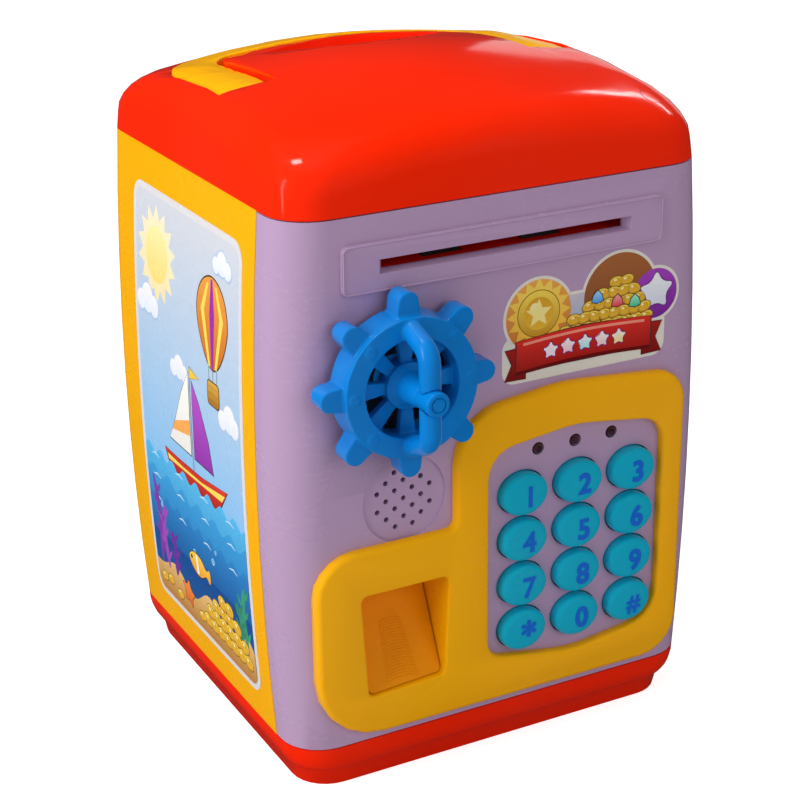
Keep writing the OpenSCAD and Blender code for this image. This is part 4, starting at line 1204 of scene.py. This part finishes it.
    def floor(self, s: InkSheet) -> None:
        """Draws the sea floor with weed, a starfish, a fish and coins."""
        b = self.border
        w = self.half - b
        deep = rounded_box(-w, self.foot + b, w, 46, self.corner - b)
        s.shape(deep, 15, (0.02, 0.12, 0.36), (0.01, 0.08, 0.32))
        dune = [
            (w - 2 * w * k / 40, 36 + 2.6 * math.sin(0.14 * k * 3.1) + 1.2 * math.sin(0.5 * k))
            for k in range(41)
        ]
        lower_half = rounded_box(-w, self.foot + b, w, 34, self.corner - b)[18:]
        sand = [(-w, self.foot + b + 4), *lower_half, (w, self.foot + b + 4), *dune]
        s.shape(sand, 19, (0.5, 0.22, 0.05), (0.86, 0.56, 0.2))
        self.weed(s)
        star = rounded_path(star_points(-12, 33, 5.4, 5, 0.45, 80), 2)
        s.outlined(star, 22, (0.8, 0.14, 0.03), (0.96, 0.32, 0.06), 0.35)
        back = [(-9, 48), (-4, 51), (2, 50.6), (5.4, 47.4), (8.6, 50)]
        belly = [(8.6, 43.6), (5.2, 46.4), (1.5, 43.6), (-4, 43.8)]
        s.outlined(rounded_path(back + belly, 2), 20, (0.92, 0.36, 0.03), (0.98, 0.66, 0.08), 0.35)
        s.shape([(-2.6, 50.2), (-1.2, 50.4), (-0.6, 44.2), (-2.0, 44.2)], 22, (0.98, 0.92, 0.85))
        s.shape(circle_points(-5.8, 48.4, 0.7, 14), 22, (0.03, 0.02, 0.02))
        heap = ((7, 30.5, 3.0), (6, 34.6, 6.0), (4, 38.6, 11.4), (2, 42.2, 16.6))
        for row, (count, y, x0) in enumerate(heap):
            for k in range(count):
                s.coin(x0 + 5.1 * k, y, 3.0, 24 + 4 * (row % 2), 0.72, 12 * (k % 3) - 12)
        for x, y in ((-33, 29.6), (-27.4, 30.8), (-20, 28.8), (-2, 29.4)):
            s.coin(x, y, 2.6, 24, 0.6, 8)

    def weed(self, s: InkSheet) -> None:
        """Draws the weed on the sea floor, each stem with five leaves."""
        stems = (
            (-33, 30, 3, (0.22, 0.05, 0.42)),
            (-27, 22, -3, (0.36, 0.08, 0.5)),
            (-21, 15, 2, (0.16, 0.04, 0.36)),
            (34, 20, -2, (0.05, 0.34, 0.2)),
            (29, 13, 3, (0.04, 0.26, 0.16)),
        )
        for x, tall, lean, ink in stems:
            frond = [
                (x + lean * math.sin(3.6 * t / 6) * (0.3 + t / 9), 35 + tall * t / 6) for t in range(7)
            ]
            s.line(frond, 3.0, 20, ink)
            for t, (fx, fy) in enumerate(frond[1:6], 1):
                side = 1 if t % 2 else -1
                leaf = [(fx, fy), (fx + side * 2.2, fy + 1.2), (fx + side * 3.6, fy + 3.2)]
                s.line(leaf, 1.7, 21, ink)


@dataclass
class Door(Assembly):
    """Lilac door with its bezel, speaker, lights, boards and screws."""

    edge: float = 0.22
    panel: tuple[float, float, float, float] = (-49.3, 148.5, 49.0, 161.2)
    panel_corner: float = 1.6
    bead: float = 0.28
    before: float = -200.0
    coil_place: Triple = (-20.0, -56.0, 123.7)

    def build(self) -> None:
        """Builds and dresses the pieces that ride on the door."""
        shell = self.mould("door_shell", "door", Slot.LILAC, self.edge, 42)
        self.panel_bead(shell)
        self.mould("door_bezel", "door", Slot.YELLOW, 0.2, 50)
        self.mould("door_back", "door", Slot.LILAC, 0.3)
        self.dress(Slot.STEEL, "door_screws", "feeder_motor")
        self.dress(Slot.GREY_RUBBER, "key_mat")
        self.dress(Slot.BOARD, "main_board", "sensor_board")
        self.dress(Slot.DARK, "board_parts", "speaker_driver")
        self.mould("status_lights", "door", Slot.LENS, 0.0)
        self.dress(Slot.CONE, "speaker_cone")
        self.mould("feeder_frame", "door", Slot.RED, 0.15)
        self.winding()

    def panel_bead(self, shell: Piece) -> None:
        """Lays the fine bead round the slot panel.

        Args:
            shell: The finished door shell, on whose surface the bead lies.
        """
        corners = rounded_box(*self.panel, self.panel_corner)
        outline = [Vector((x, self.before, z)) for x, z in corners]
        bead = laid_wire(shell, "slot_panel_bead", outline, Vector((0, 1, 0)), self.bead)
        self.keep(paint(bead, self.palette.get(Slot.LILAC)), "door", Slot.LILAC)

    def winding(self) -> None:
        """Winds the lock's coil between its two plates."""
        self.dress(Slot.COPPER, "lock_coil")
        r = Recipe("coil_winding")
        turns = r.size("Turns", 26, "Int")
        radius = r.size("Radius", 4.62)
        long = r.size("Length", 15.0)
        wire = r.size("Wire radius", 0.27)
        coil = r.tube(r.spiral(24, turns, radius, long), wire, 8)
        r.close(r.move(coil, self.coil_place, (0.0, math.pi / 2, 0.0)), self.palette.get(Slot.COPPER))
        self.keep(shade(r.run("coil_winding"), 60), "door", Slot.COPPER)


@dataclass
class FrontSticker(Assembly):
    """Contour-cut sticker: a sun, a heap of coins and a star over a blank ribbon."""

    # Middle and radius of the three round parts.
    SUN, HEAP, STAR = (10.0, 132.7, 11.3), (36.5, 134.6, 12.8), (48.3, 132.6, 8.3)

    rim: float = 0.9

    def build(self) -> None:
        """Draws the sticker from back to front."""
        s = InkSheet(self.curve.front, 0.05)
        pale, cream = (0.8, 0.76, 0.68), (0.62, 0.55, 0.62)
        s.shape(rounded_box(-1.5, 113.9, 52, 128, 4), 0, pale)
        s.shape(rounded_box(3, 120, 46, 137.8, 4), 0, pale)
        for x, y, r in (self.SUN, self.HEAP, self.STAR):
            s.shape(circle_points(x, y, r, 64), 0, pale)
        s.shape(rounded_box(3 + self.rim, 121, 46, 137.8 - self.rim, 3), 1, (0.12, 0.42, 0.75), cream)
        x, y, r = self.SUN
        s.shape(circle_points(x, y, r - self.rim, 56), 2, (0.62, 0.16, 0.03), (0.9, 0.42, 0.08))
        s.shape(star_points(x, y + 0.6, 10.2, 16, 0.74), 3, (0.92, 0.48, 0.04), (0.98, 0.7, 0.12))
        s.coin(x, y + 0.6, 6.6, 4)
        s.shape(star_points(x, y + 0.6, 4.3), 8, (0.98, 0.82, 0.3))
        x, y, r = self.HEAP
        s.shape(circle_points(x, y, r - self.rim, 60), 2, (0.2, 0.06, 0.03), (0.42, 0.14, 0.04))
        x, y, r = self.STAR
        s.shape(circle_points(x, y, r - self.rim, 48), 4, (0.2, 0.02, 0.32), (0.4, 0.06, 0.55))
        star = rounded_path(star_points(x + 0.4, y + 0.6, 6.4, 5, 0.5), 2)
        s.outlined(star, 6, (0.7, 0.75, 0.9), (0.95, 0.95, 0.98), 0.3, (0.1, 0.01, 0.18))
        self.heap(s)
        self.ribbon(s)
        piece = s.finish("front_sticker_print", self.palette.get(Slot.FRONT_PRINT))
        self.keep(piece, "door", Slot.FRONT_PRINT, "front_sticker")

    def heap(self, s: InkSheet) -> None:
        """Draws the heap of coins, with three gems on it."""
        rows = (
            (4, 2, 138.2, 35.2),
            (3, 4, 135.4, 31.0),
            (2, 6, 132.4, 26.4),
            (1, 8, 129.4, 21.5),
            (0, 9, 126.4, 19.0),
        )
        for row, count, level, start in rows:
            for k in range(count):
                turn = 14 * ((k + row) % 3) - 14
                s.coin(start + 3.3 * k, level, 2.3, 5 + 4 * (row % 2), 0.66, turn)
        gems = (
            (29, 134.6, (0.05, 0.35, 0.85)),
            (35.6, 132.4, (0.8, 0.03, 0.05)),
            (41.5, 131.4, (0.04, 0.55, 0.3)),
        )
        for x, y, ink in gems:
            lit = tuple(min(1.0, c + 0.35) for c in ink)
            s.outlined(star_points(x, y, 2.1, 3, 0.75), 14, ink, lit, 0.3)

    def ribbon(self, s: InkSheet) -> None:
        """Draws the blank ribbon with its folded ends and a row of stars."""
        def wave(x: float) -> float:
            """Rise of the ribbon at x."""
            return math.sin((x - 4) / 13.5)

        def level(xs: Sequence[float], z: float) -> list[Point]:
            """Line along the ribbon at a height."""
            return [(x, z + wave(x)) for x in xs]

        there = [3 + 2.1 * k for k in range(22)]
        back = there[::-1]
        for a, b in ((-0.6, 6.0), (51.0, 44.4)):
            tail = [(a, 115.2), (a + (b - a) * 0.34, 119.6), (a, 124.0), (b, 124.4), (b, 115.0)]
            s.outlined(tail, 15, (0.22, 0.006, 0.006), (0.42, 0.014, 0.01), 0.25)
        band = level(there, 116.4) + level(back, 126.2)
        s.outlined(band, 17, (0.36, 0.008, 0.006), (0.8, 0.03, 0.02), 0.35)
        s.shape(level(there, 117.4) + level(back, 116.4), 19, (0.16, 0.004, 0.004))
        s.shape(level(there[1:-1], 124.6) + level(back[1:-1], 125.4), 19, (0.95, 0.3, 0.22))
        warm = ((0.95, 0.6, 0.6), (0.98, 0.78, 0.25))
        for k, ink in enumerate(((0.95, 0.75, 0.9), (0.98, 0.55, 0.72), (0.4, 0.85, 0.92), *warm)):
            x = 14 + 5.6 * k
            star = rounded_path(star_points(x, 121.2 + wave(x), 2.7, 5, 0.5), 1)
            s.outlined(star, 19, ink, (0.98, 0.95, 0.95), 0.35, (0.2, 0.01, 0.2))


@dataclass
class Keypad(Assembly):
    """Twelve oval keys with printed numerals."""

    # Signs that are drawn taller or lower than the figures.
    TALL = {"*": 1.25, "#": 0.88}
    DROP = {"*": 0.9}

    middle: Point = (23.34, 59.29)
    pitch: Point = (18.19, 14.31)
    proud: float = 1.9
    lift: float = 1.5
    height: float = 6.4
    boldness: float = 0.38
    film: float = 0.05
    offset: Point = (1.2, -0.95)
    names: tuple[str, ...] = ("1", "2", "3", "4", "5", "6", "7", "8", "9", "star", "0", "hash")
    signs: str = "123456789*0#"

    def build(self) -> None:
        """Raises and dresses the keys and prints their numerals."""
        recipe = self.numeral_recipe()
        for k, (name, sign) in enumerate(zip(self.names, self.signs)):
            x = self.middle[0] + self.pitch[0] * (k % 3 - 1)
            z = self.middle[1] + self.pitch[1] * (1.5 - k // 3)
            key = self.mould("key_" + name, "button_" + name, Slot.TEAL, 0.0, 30)
            door = -self.curve.half_depth(z)
            shift(key, lambda p, _: Vector((0, -self.lift * smooth_step(door - p.y, -0.2, 0.6), 0)))
            values = {
                "Sign": sign,
                "Height": self.height * self.TALL.get(sign, 1.0),
                "X": x + self.offset[0],
                "Y": door - self.proud - self.lift,
                "Z": z + self.offset[1] - self.DROP.get(sign, 0.0),
            }
            self.keep(shade(recipe.run("numeral_" + name, values), 30), "button_" + name, Slot.TEAL)

    def numeral_recipe(self) -> Recipe:
        """Builds the tree that prints one sign: outlined, swollen a little, filled and raised as a film."""
        r = Recipe("printed_numeral")
        sign = r.size("Sign", "0", "String")
        size = r.maths("MULTIPLY", r.size("Height", self.height), 1.36)
        bold = r.size("Boldness", self.boldness)
        film = r.size("Film", self.film)
        x, y, z = r.size("X", 0.0), r.size("Y", 0.0), r.size("Z", 0.0)
        text = r.add("StringToCurves", {"String": sign, "Size": size}, align_x="CENTER", align_y="MIDDLE")
        curves = r.add("RealizeInstances", {0: text})
        pressed = r.move(r.tube(curves, bold, 10), scale=(1.0, 1.0, 0.22))
        both = r.join(r.plate(curves, film, True), pressed)
        r.close(r.move(both, r.place(x, y, z), (math.pi / 2, 0.0, 0.0)), self.palette.finish(Palette.INK))
        return r


@dataclass
class FingerPad(Assembly):
    """Sloping pad in the finger well, with fine arched ridges."""

    slope: float = 0.567
    middle_x: float = -33.3
    low_y: float = -65.84
    low_z: float = 29.2
    tooth: Point = (2.0, 24.0)
    rows: int = 21
    pitch: float = 0.84
    reach: float = 5.8
    narrowing: float = 0.09
    ridge: float = 0.17
    first_arch: float = 1.8
    arch_rise: float = 1.6

    def sunk(self, p: Vector) -> float:
        """How far a point stands out of the sloping face, where the tooth behind it would show."""
        plane = self.low_y + self.slope * (p.z - self.low_z)
        near_tooth = self.low_z + self.tooth[0] < p.z < self.low_z + self.tooth[1]
        return max(0.0, plane - p.y) if near_tooth else 0.0

    def build(self) -> None:
        """Builds the pad and its ridges."""
        pad = self.mould("finger_pad", "pad", Slot.YELLOW, 0.25)
        shift(pad, lambda p, _: Vector((0, self.sunk(p), 0)))
        # The pad and its ridges take the darker orange copy of the yellow moulding: painted shade of the
        # finger well.
        shaded_orange = self.palette.finish(Palette.SHADED_PAD)
        paint(pad, shaded_orange)
        r = Recipe("pad_ridges")
        rows = r.size("Rows", self.rows, "Int")
        pitch = r.size("Pitch", self.pitch)
        reach = r.size("Reach", self.reach)
        ridge = r.size("Ridge radius", self.ridge)
        start = r.size("First arch", self.first_arch)
        line = r.add("MeshLine", {"Count": rows, "Offset": ORIGIN}, mode="OFFSET")
        index = r.add("InputIndex")
        arch = r.arc(24, 1.0, math.radians(30), math.radians(120))
        rise = r.maths("ADD", start, r.maths("MULTIPLY", index, pitch))
        size = r.maths("SUBTRACT", reach, r.maths("MULTIPLY", index, self.narrowing))
        scale = r.place(size, self.arch_rise, 1.0)
        arches = r.add("InstanceOnPoints", {"Points": line, "Instance": arch, "Scale": scale})
        step = {"Instances": arches, "Translation": r.place(0.0, rise, 0.0), "Local Space": False}
        real = r.add("RealizeInstances", {0: r.add("TranslateInstances", step)})
        tilt = math.atan2(1.0, self.slope)
        place = (self.middle_x, self.low_y + 0.02, self.low_z)
        r.close(r.move(r.tube(real, ridge, 6), place, (tilt, 0.0, 0.0)), shaded_orange)
        self.keep(shade(r.run("pad_ridges"), 80), "pad", Slot.YELLOW)


@dataclass
class NoteFeeder(Assembly):
    """Rollers, shafts and gears behind the note slot."""

    def build(self) -> None:
        """Dresses the feeder's moving pieces."""
        self.dress(Slot.STEEL, "roller_shaft", "pinch_shaft")
        self.dress(Slot.BLACK_RUBBER, "feed_rollers", "pinch_rollers")
        self.dress(Slot.WHITE, "drive_gear", "roller_gear")


@dataclass
class ShipWheel(Assembly):
    """Blue ship's wheel with its cap, shaft, arm and plunger. Heights are measured from the door."""

    axis: Point = (-34.8, 123.7)
    face: float = -65.047
    rim_radii: Triple = (20.2, 19.5, 13.8)
    rim_heights: Point = (2.6, 11.2)
    peg_tip: float = 25.9
    peg_radius: float = 3.1
    peg_root: float = 8.0
    peg_heights: Point = (2.9, 9.4)
    count: int = 8
    hub_radius: float = 6.6
    spoke_heights: Point = (5.0, 7.6)
    spoke_widths: Point = (3.1, 5.3)
    post_height: float = 18.0
    grip_radius: float = 2.95
    grip_height: float = 20.3
    grip_bend: float = 5.0
    grip_lean: float = 20.0
    grip_foot: Point = (17.0, 8.0)
    overlap: float = 0.2
    boss_depth: float = 8.5
    boss_middle: float = 4.85
    collar: tuple[Point, Point] = ((5.3, 5.1), (8.5, 9.6))
    stem_radii: Point = (4.7, 3.3)
    pip_radii: Point = (1.6, 1.4)
    voxel: float = 0.33

    def build(self) -> None:
        """Builds the wheel and dresses the rest."""
        wheel = self.recipe().run("ship_wheel_moulding", extra=lambda carrier: melt(carrier, self.voxel, 3))
        paint(wheel, self.palette.get(Slot.BLUE))
        self.keep(shade(wheel, 180), "wheel", Slot.BLUE, "ship_wheel")
        self.mould("wheel_cap", "wheel", Slot.BLUE, 0.2)
        self.dress(Slot.STEEL, "wheel_shaft", "latch_arm", "latch_screw", "lock_plunger")
        # A dark disc behind the wheel's windows is painted shade.
        self.painted_shade_disc()

    def upright(self, r: Recipe, geometry: Socket) -> Socket:
        """Turns the wheel's own Z out of the door and moves it to the axis."""
        return r.move(geometry, (self.axis[0], self.face, self.axis[1]), (math.pi / 2, 0, 0))

    def taper(
        self, r: Recipe, start: object, end: object, widths: Sequence[object], heights: Point
    ) -> Socket:
        """Adds a flat bar along X whose width changes from its start to its end.

        Args:
            r: Recipe that it belongs to.
            start: X of its start.
            end: X of its end.
            widths: Width at its start and at its end.
            heights: Its foot and its top.

        Returns:
            The closed bar.
        """
        long = r.maths("SUBTRACT", end, start)
        sizes = {"Height": long, "Bottom Width": widths[0], "Top Width": widths[1], "Offset": 0.0}
        plan = r.add("CurvePrimitiveQuadrilateral", sizes, mode="TRAPEZOID")
        slab = r.move(r.plate(plan, heights[1] - heights[0]), (0, 0, heights[0]))
        middle = r.maths("MULTIPLY", r.maths("ADD", start, end), 0.5)
        return r.move(slab, r.place(middle, 0, 0), (0, 0, -math.pi / 2))

    def disc(self, r: Recipe, radii: Point, heights: Point, sides: int = 64) -> Socket:
        """Adds a closed disc or frustum about the axis: radius at its foot and at its top."""
        sizes = {"Radius Bottom": radii[0], "Radius Top": radii[1], "Depth": heights[1] - heights[0]}
        return r.move(r.add("MeshCone", {"Vertices": sides, **sizes}), (0, 0, heights[0]))

    def grip(self, r: Recipe) -> Socket:
        """Adds the grip bar: a straight middle, two bends and two legs that lean out to the rim."""
        lean = math.radians(self.grip_lean)
        turn = math.pi / 2 - lean
        foot_x, foot_z = self.grip_foot
        bend_z = self.grip_height - self.grip_bend
        reach = (bend_z + self.grip_bend * math.cos(turn) - foot_z) / math.cos(lean)
        bend_x = foot_x - reach * math.sin(lean) - self.grip_bend * math.sin(turn)
        thick = r.size("Grip radius", self.grip_radius)
        bar = r.rod(32, thick, 2 * bend_x + self.overlap)
        lying = r.move(bar, (0, 0, self.grip_height), (0, math.pi / 2, 0))
        elbow = r.tube(r.arc(16, self.grip_bend, lean, turn), thick, 32)
        bend = r.move(elbow, (bend_x, 0, bend_z), (math.pi / 2, 0, 0))
        half = (foot_x - math.sin(lean) * reach / 2, 0, foot_z + math.cos(lean) * reach / 2)
        leg = r.move(r.rod(32, thick, reach + self.overlap), half, (0, -lean, 0))
        side = r.join(bend, leg)
        bored = r.cut(lying, self.disc(r, (3.5, 3.5), (self.post_height, 30), 48))
        across = r.join(bored, side, r.move(side, turn=(0, 0, math.pi)))
        return r.move(across, turn=(0, 0, math.pi / 2))

    def rays(self, r: Recipe, hub: Socket) -> Socket:
        """Adds the eight rays, each with its peg, its spoke and its pip.

        Args:
            r: Recipe that they belong to.
            hub: Radius of the hub, where the spokes start.

        Returns:
            The rays as instances.
        """
        count = r.size("Pegs", self.count, "Int")
        tip = r.size("Peg tip", self.peg_tip)
        knob = r.size("Peg radius", self.peg_radius)
        outer, _, inner = self.rim_radii
        front = self.rim_heights[1]
        low, high = self.peg_heights
        centre = r.maths("SUBTRACT", tip, knob)
        widths = (self.peg_root, r.maths("MULTIPLY", knob, 2.0))
        blade = self.taper(r, inner + 2.0, centre, widths, self.peg_heights)
        end = r.rod(40, knob, high - low)
        peg = r.join(blade, r.move(end, r.place(centre, 0, (low + high) / 2)))
        root = r.maths("SUBTRACT", hub, 1.0)
        spoke = self.taper(r, root, inner + 1.0, self.spoke_widths, self.spoke_heights)
        pip = self.disc(r, self.pip_radii, (front - 0.4, front + 0.35), 24)
        ray = r.join(peg, spoke, r.move(pip, ((outer + inner) / 2, 0, 0)))
        dots = r.add("MeshCircle", {"Vertices": count, "Radius": 0.0001})
        angle = r.maths("MULTIPLY", r.maths("DIVIDE", r.add("InputIndex"), count), 2 * math.pi)
        places = {"Points": dots, "Instance": ray, "Rotation": r.place(0, 0, angle)}
        return r.add("InstanceOnPoints", places)

    def recipe(self) -> Recipe:
        """Builds the tree of the wheel: the rays round a drum, with the post and the grip."""
        r = Recipe("ship_wheel")
        hub = r.size("Hub radius", self.hub_radius)
        back, front = self.rim_heights
        outer, edge, inner = self.rim_radii
        drum = self.disc(r, (outer, edge), self.rim_heights, 128)
        rim = r.cut(drum, self.disc(r, (inner, inner), (back - 1, front + 1), 96))
        spun = self.rays(r, hub)
        boss = r.move(r.rod(64, hub, self.boss_depth), (0, 0, self.boss_middle))
        collar = self.disc(r, *self.collar)
        stem = self.disc(r, self.stem_radii, (self.collar[1][0], self.post_height))
        whole = r.join(rim, spun, boss, collar, stem, self.grip(r))
        r.close(self.upright(r, whole), self.palette.get(Slot.BLUE))
        return r

    def painted_shade_disc(self) -> None:
        """Lays a dark disc behind the wheel's windows as painted shade, so that they look deep and dark."""
        r = Recipe("wheel_painted_shade_disc")
        radius = r.size("Radius", self.rim_radii[2] + 1.0)
        plate = r.move(r.rod(64, radius, 0.4), (0, 0, 0.75))
        r.close(self.upright(r, plate), self.palette.get(Slot.DARK))
        self.keep(shade(r.run("wheel_painted_shade_disc"), 30), "wheel", Slot.DARK)


# Studio. The world, the floor, the lamps and the camera.


@dataclass
class Studio:
    """Pale floor, white surround, seven lamps and the camera at the photograph's place."""

    # Name, place and size in metres, watts, and whether gloss shows the lamp.
    LAMPS = (
        ("left softbox", (-0.95, -0.1, 0.55), (0.7, 0.7), 6.6, False),
        ("top softbox", (-0.2, 0.15, 1.05), (0.8, 0.8), 5.0, False),
        ("front fill", (0.35, -1.25, 0.6), (0.9, 0.7), 3.3, False),
        ("left strip", (-0.95, -0.1, 0.5), (0.1, 0.8), 0.9, True),
        ("spark", (-0.25, 0.1, 1.0), (0.1, 0.1), 0.7, True),
        ("right strip", (1.2, 0.7, 0.84), (0.8, 0.06), 1.6, True),
        ("backdrop glow", (1.25, 1.15, 0.3), (0.9, 0.5), 0.9, True),
    )
    TARGET = (0, 0, 0.1)

    eye: Triple = (-252.025, -488.163, 305.5)
    forward: Triple = (0.427224, 0.825458, -0.368915)
    roll: float = -0.0182
    lens: float = 86.4726
    ambient: float = 0.3
    reflected: float = 0.03

    def build(self) -> None:
        """Builds the surround, the lamps and the camera."""
        self.world()
        self.floor()
        for lamp in self.LAMPS:
            self.lamp(*lamp)
        self.camera()
        bpy.context.scene.view_settings.view_transform = "Standard"

    def lamp(self, name: str, place: Triple, size: Point, watts: float, seen: bool) -> None:
        """Adds an area lamp that looks at the bank.

        Args:
            name: Name of the lamp.
            place: Its place in metres.
            size: Width and height in metres.
            watts: Power.
            seen: Whether gloss shows it.
        """
        light = bpy.data.lights.new(name, "AREA")
        light.shape = "RECTANGLE"
        light.size, light.size_y = size
        light.energy = watts
        obj = new_object(name, light)
        obj.location = place
        obj.visible_glossy = seen
        sight = Vector(self.TARGET) - Vector(place)
        obj.rotation_euler = sight.to_track_quat("-Z", "Y").to_euler()

    def rays(self, tree: bpy.types.NodeTree) -> tuple[Socket, Socket]:
        """Adds a light path and returns its marks for rays from the camera and off gloss."""
        path = tree.nodes.new("ShaderNodeLightPath")
        return path.outputs["Is Camera Ray"], path.outputs["Is Glossy Ray"]

    def mixed(
        self, tree: bpy.types.NodeTree, factor: Socket, a: bpy.types.Node, b: bpy.types.Node
    ) -> bpy.types.Node:
        """Mixes two shaders: a where the factor is 0, b where it is 1."""
        mix = tree.nodes.new("ShaderNodeMixShader")
        tree.links.new(factor, mix.inputs[0])
        tree.links.new(a.outputs[0], mix.inputs[1])
        tree.links.new(b.outputs[0], mix.inputs[2])
        return mix

    def glow(self, tree: bpy.types.NodeTree, kind: str, colour: Colour, strength: float) -> bpy.types.Node:
        """Adds a background or emission shader."""
        node = tree.nodes.new(kind)
        node.inputs["Color"].default_value = (*colour, 1)
        node.inputs["Strength"].default_value = strength
        return node

    def world(self) -> None:
        """Builds a world that looks white, lights softly and shows dimly in gloss."""
        world = bpy.data.worlds.new("studio")
        bpy.context.scene.world = world
        world.use_nodes = True
        tree = world.node_tree
        tree.nodes.clear()
        output = tree.nodes.new("ShaderNodeOutputWorld")
        camera, gloss = self.rays(tree)
        soft = self.glow(tree, "ShaderNodeBackground", (1.0, 0.98, 0.97), self.ambient)
        dim = self.glow(tree, "ShaderNodeBackground", (1.0, 1.0, 1.0), self.reflected)
        white = self.glow(tree, "ShaderNodeBackground", (1.0, 1.0, 1.0), 1.0)
        lit = self.mixed(tree, camera, self.mixed(tree, gloss, soft, dim), white)
        tree.links.new(lit.outputs[0], output.inputs[0])

    def floor(self) -> None:
        """Builds a pale floor that keeps the shadow."""
        mesh = bpy.data.meshes.new("floor")
        work = bmesh.new()
        bmesh.ops.create_grid(work, x_segments=1, y_segments=1, size=6.0)
        work.to_mesh(mesh)
        work.free()
        material = bpy.data.materials.new("pale floor")
        material.use_nodes = True
        tree = material.node_tree
        tree.nodes.clear()
        output = tree.nodes.new("ShaderNodeOutputMaterial")
        camera, gloss = self.rays(tree)
        paint = tree.nodes.new("ShaderNodeBsdfDiffuse")
        paint.inputs["Color"].default_value = (0.6, 0.6, 0.6, 1)
        dim = self.glow(tree, "ShaderNodeEmission", (1.0, 1.0, 1.0), self.reflected)
        total = tree.nodes.new("ShaderNodeAddShader")
        lift = self.glow(tree, "ShaderNodeEmission", (0.8, 0.8, 0.8), 0.0)
        tree.links.new(camera, lift.inputs["Strength"])
        tree.links.new(self.mixed(tree, gloss, paint, dim).outputs[0], total.inputs[0])
        tree.links.new(lift.outputs[0], total.inputs[1])
        tree.links.new(total.outputs[0], output.inputs[0])
        mesh.materials.append(material)
        new_object("floor", mesh)

    def camera(self) -> None:
        """Places the camera."""
        forward = Vector(self.forward).normalized()
        level_right = forward.cross(Vector((0, 0, 1))).normalized()
        level_up = level_right.cross(forward)
        c, s = math.cos(self.roll), math.sin(self.roll)
        right = c * level_right + s * level_up
        up = -s * level_right + c * level_up
        data = bpy.data.cameras.new("camera")
        data.lens = self.lens
        data.sensor_width = 36.0
        data.sensor_fit = "HORIZONTAL"
        data.clip_start, data.clip_end = 0.05, 20.0
        obj = new_object("camera", data)
        turn = Matrix((right, up, -forward)).transposed().to_4x4()
        obj.matrix_world = Matrix.Translation(Vector(self.eye) * MM) @ turn
        bpy.context.scene.camera = obj


def main() -> None:
    """Builds the bank and its studio."""
    logging.basicConfig(level=logging.INFO, format="%(name)s %(message)s")
    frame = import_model()
    palette = Palette()
    for kind in (Casing, SideLabel, Door, FrontSticker, Keypad, FingerPad, NoteFeeder, ShipWheel):
        kind(frame, palette).build()
    Studio().build()


if __name__ == "__main__":
    main()
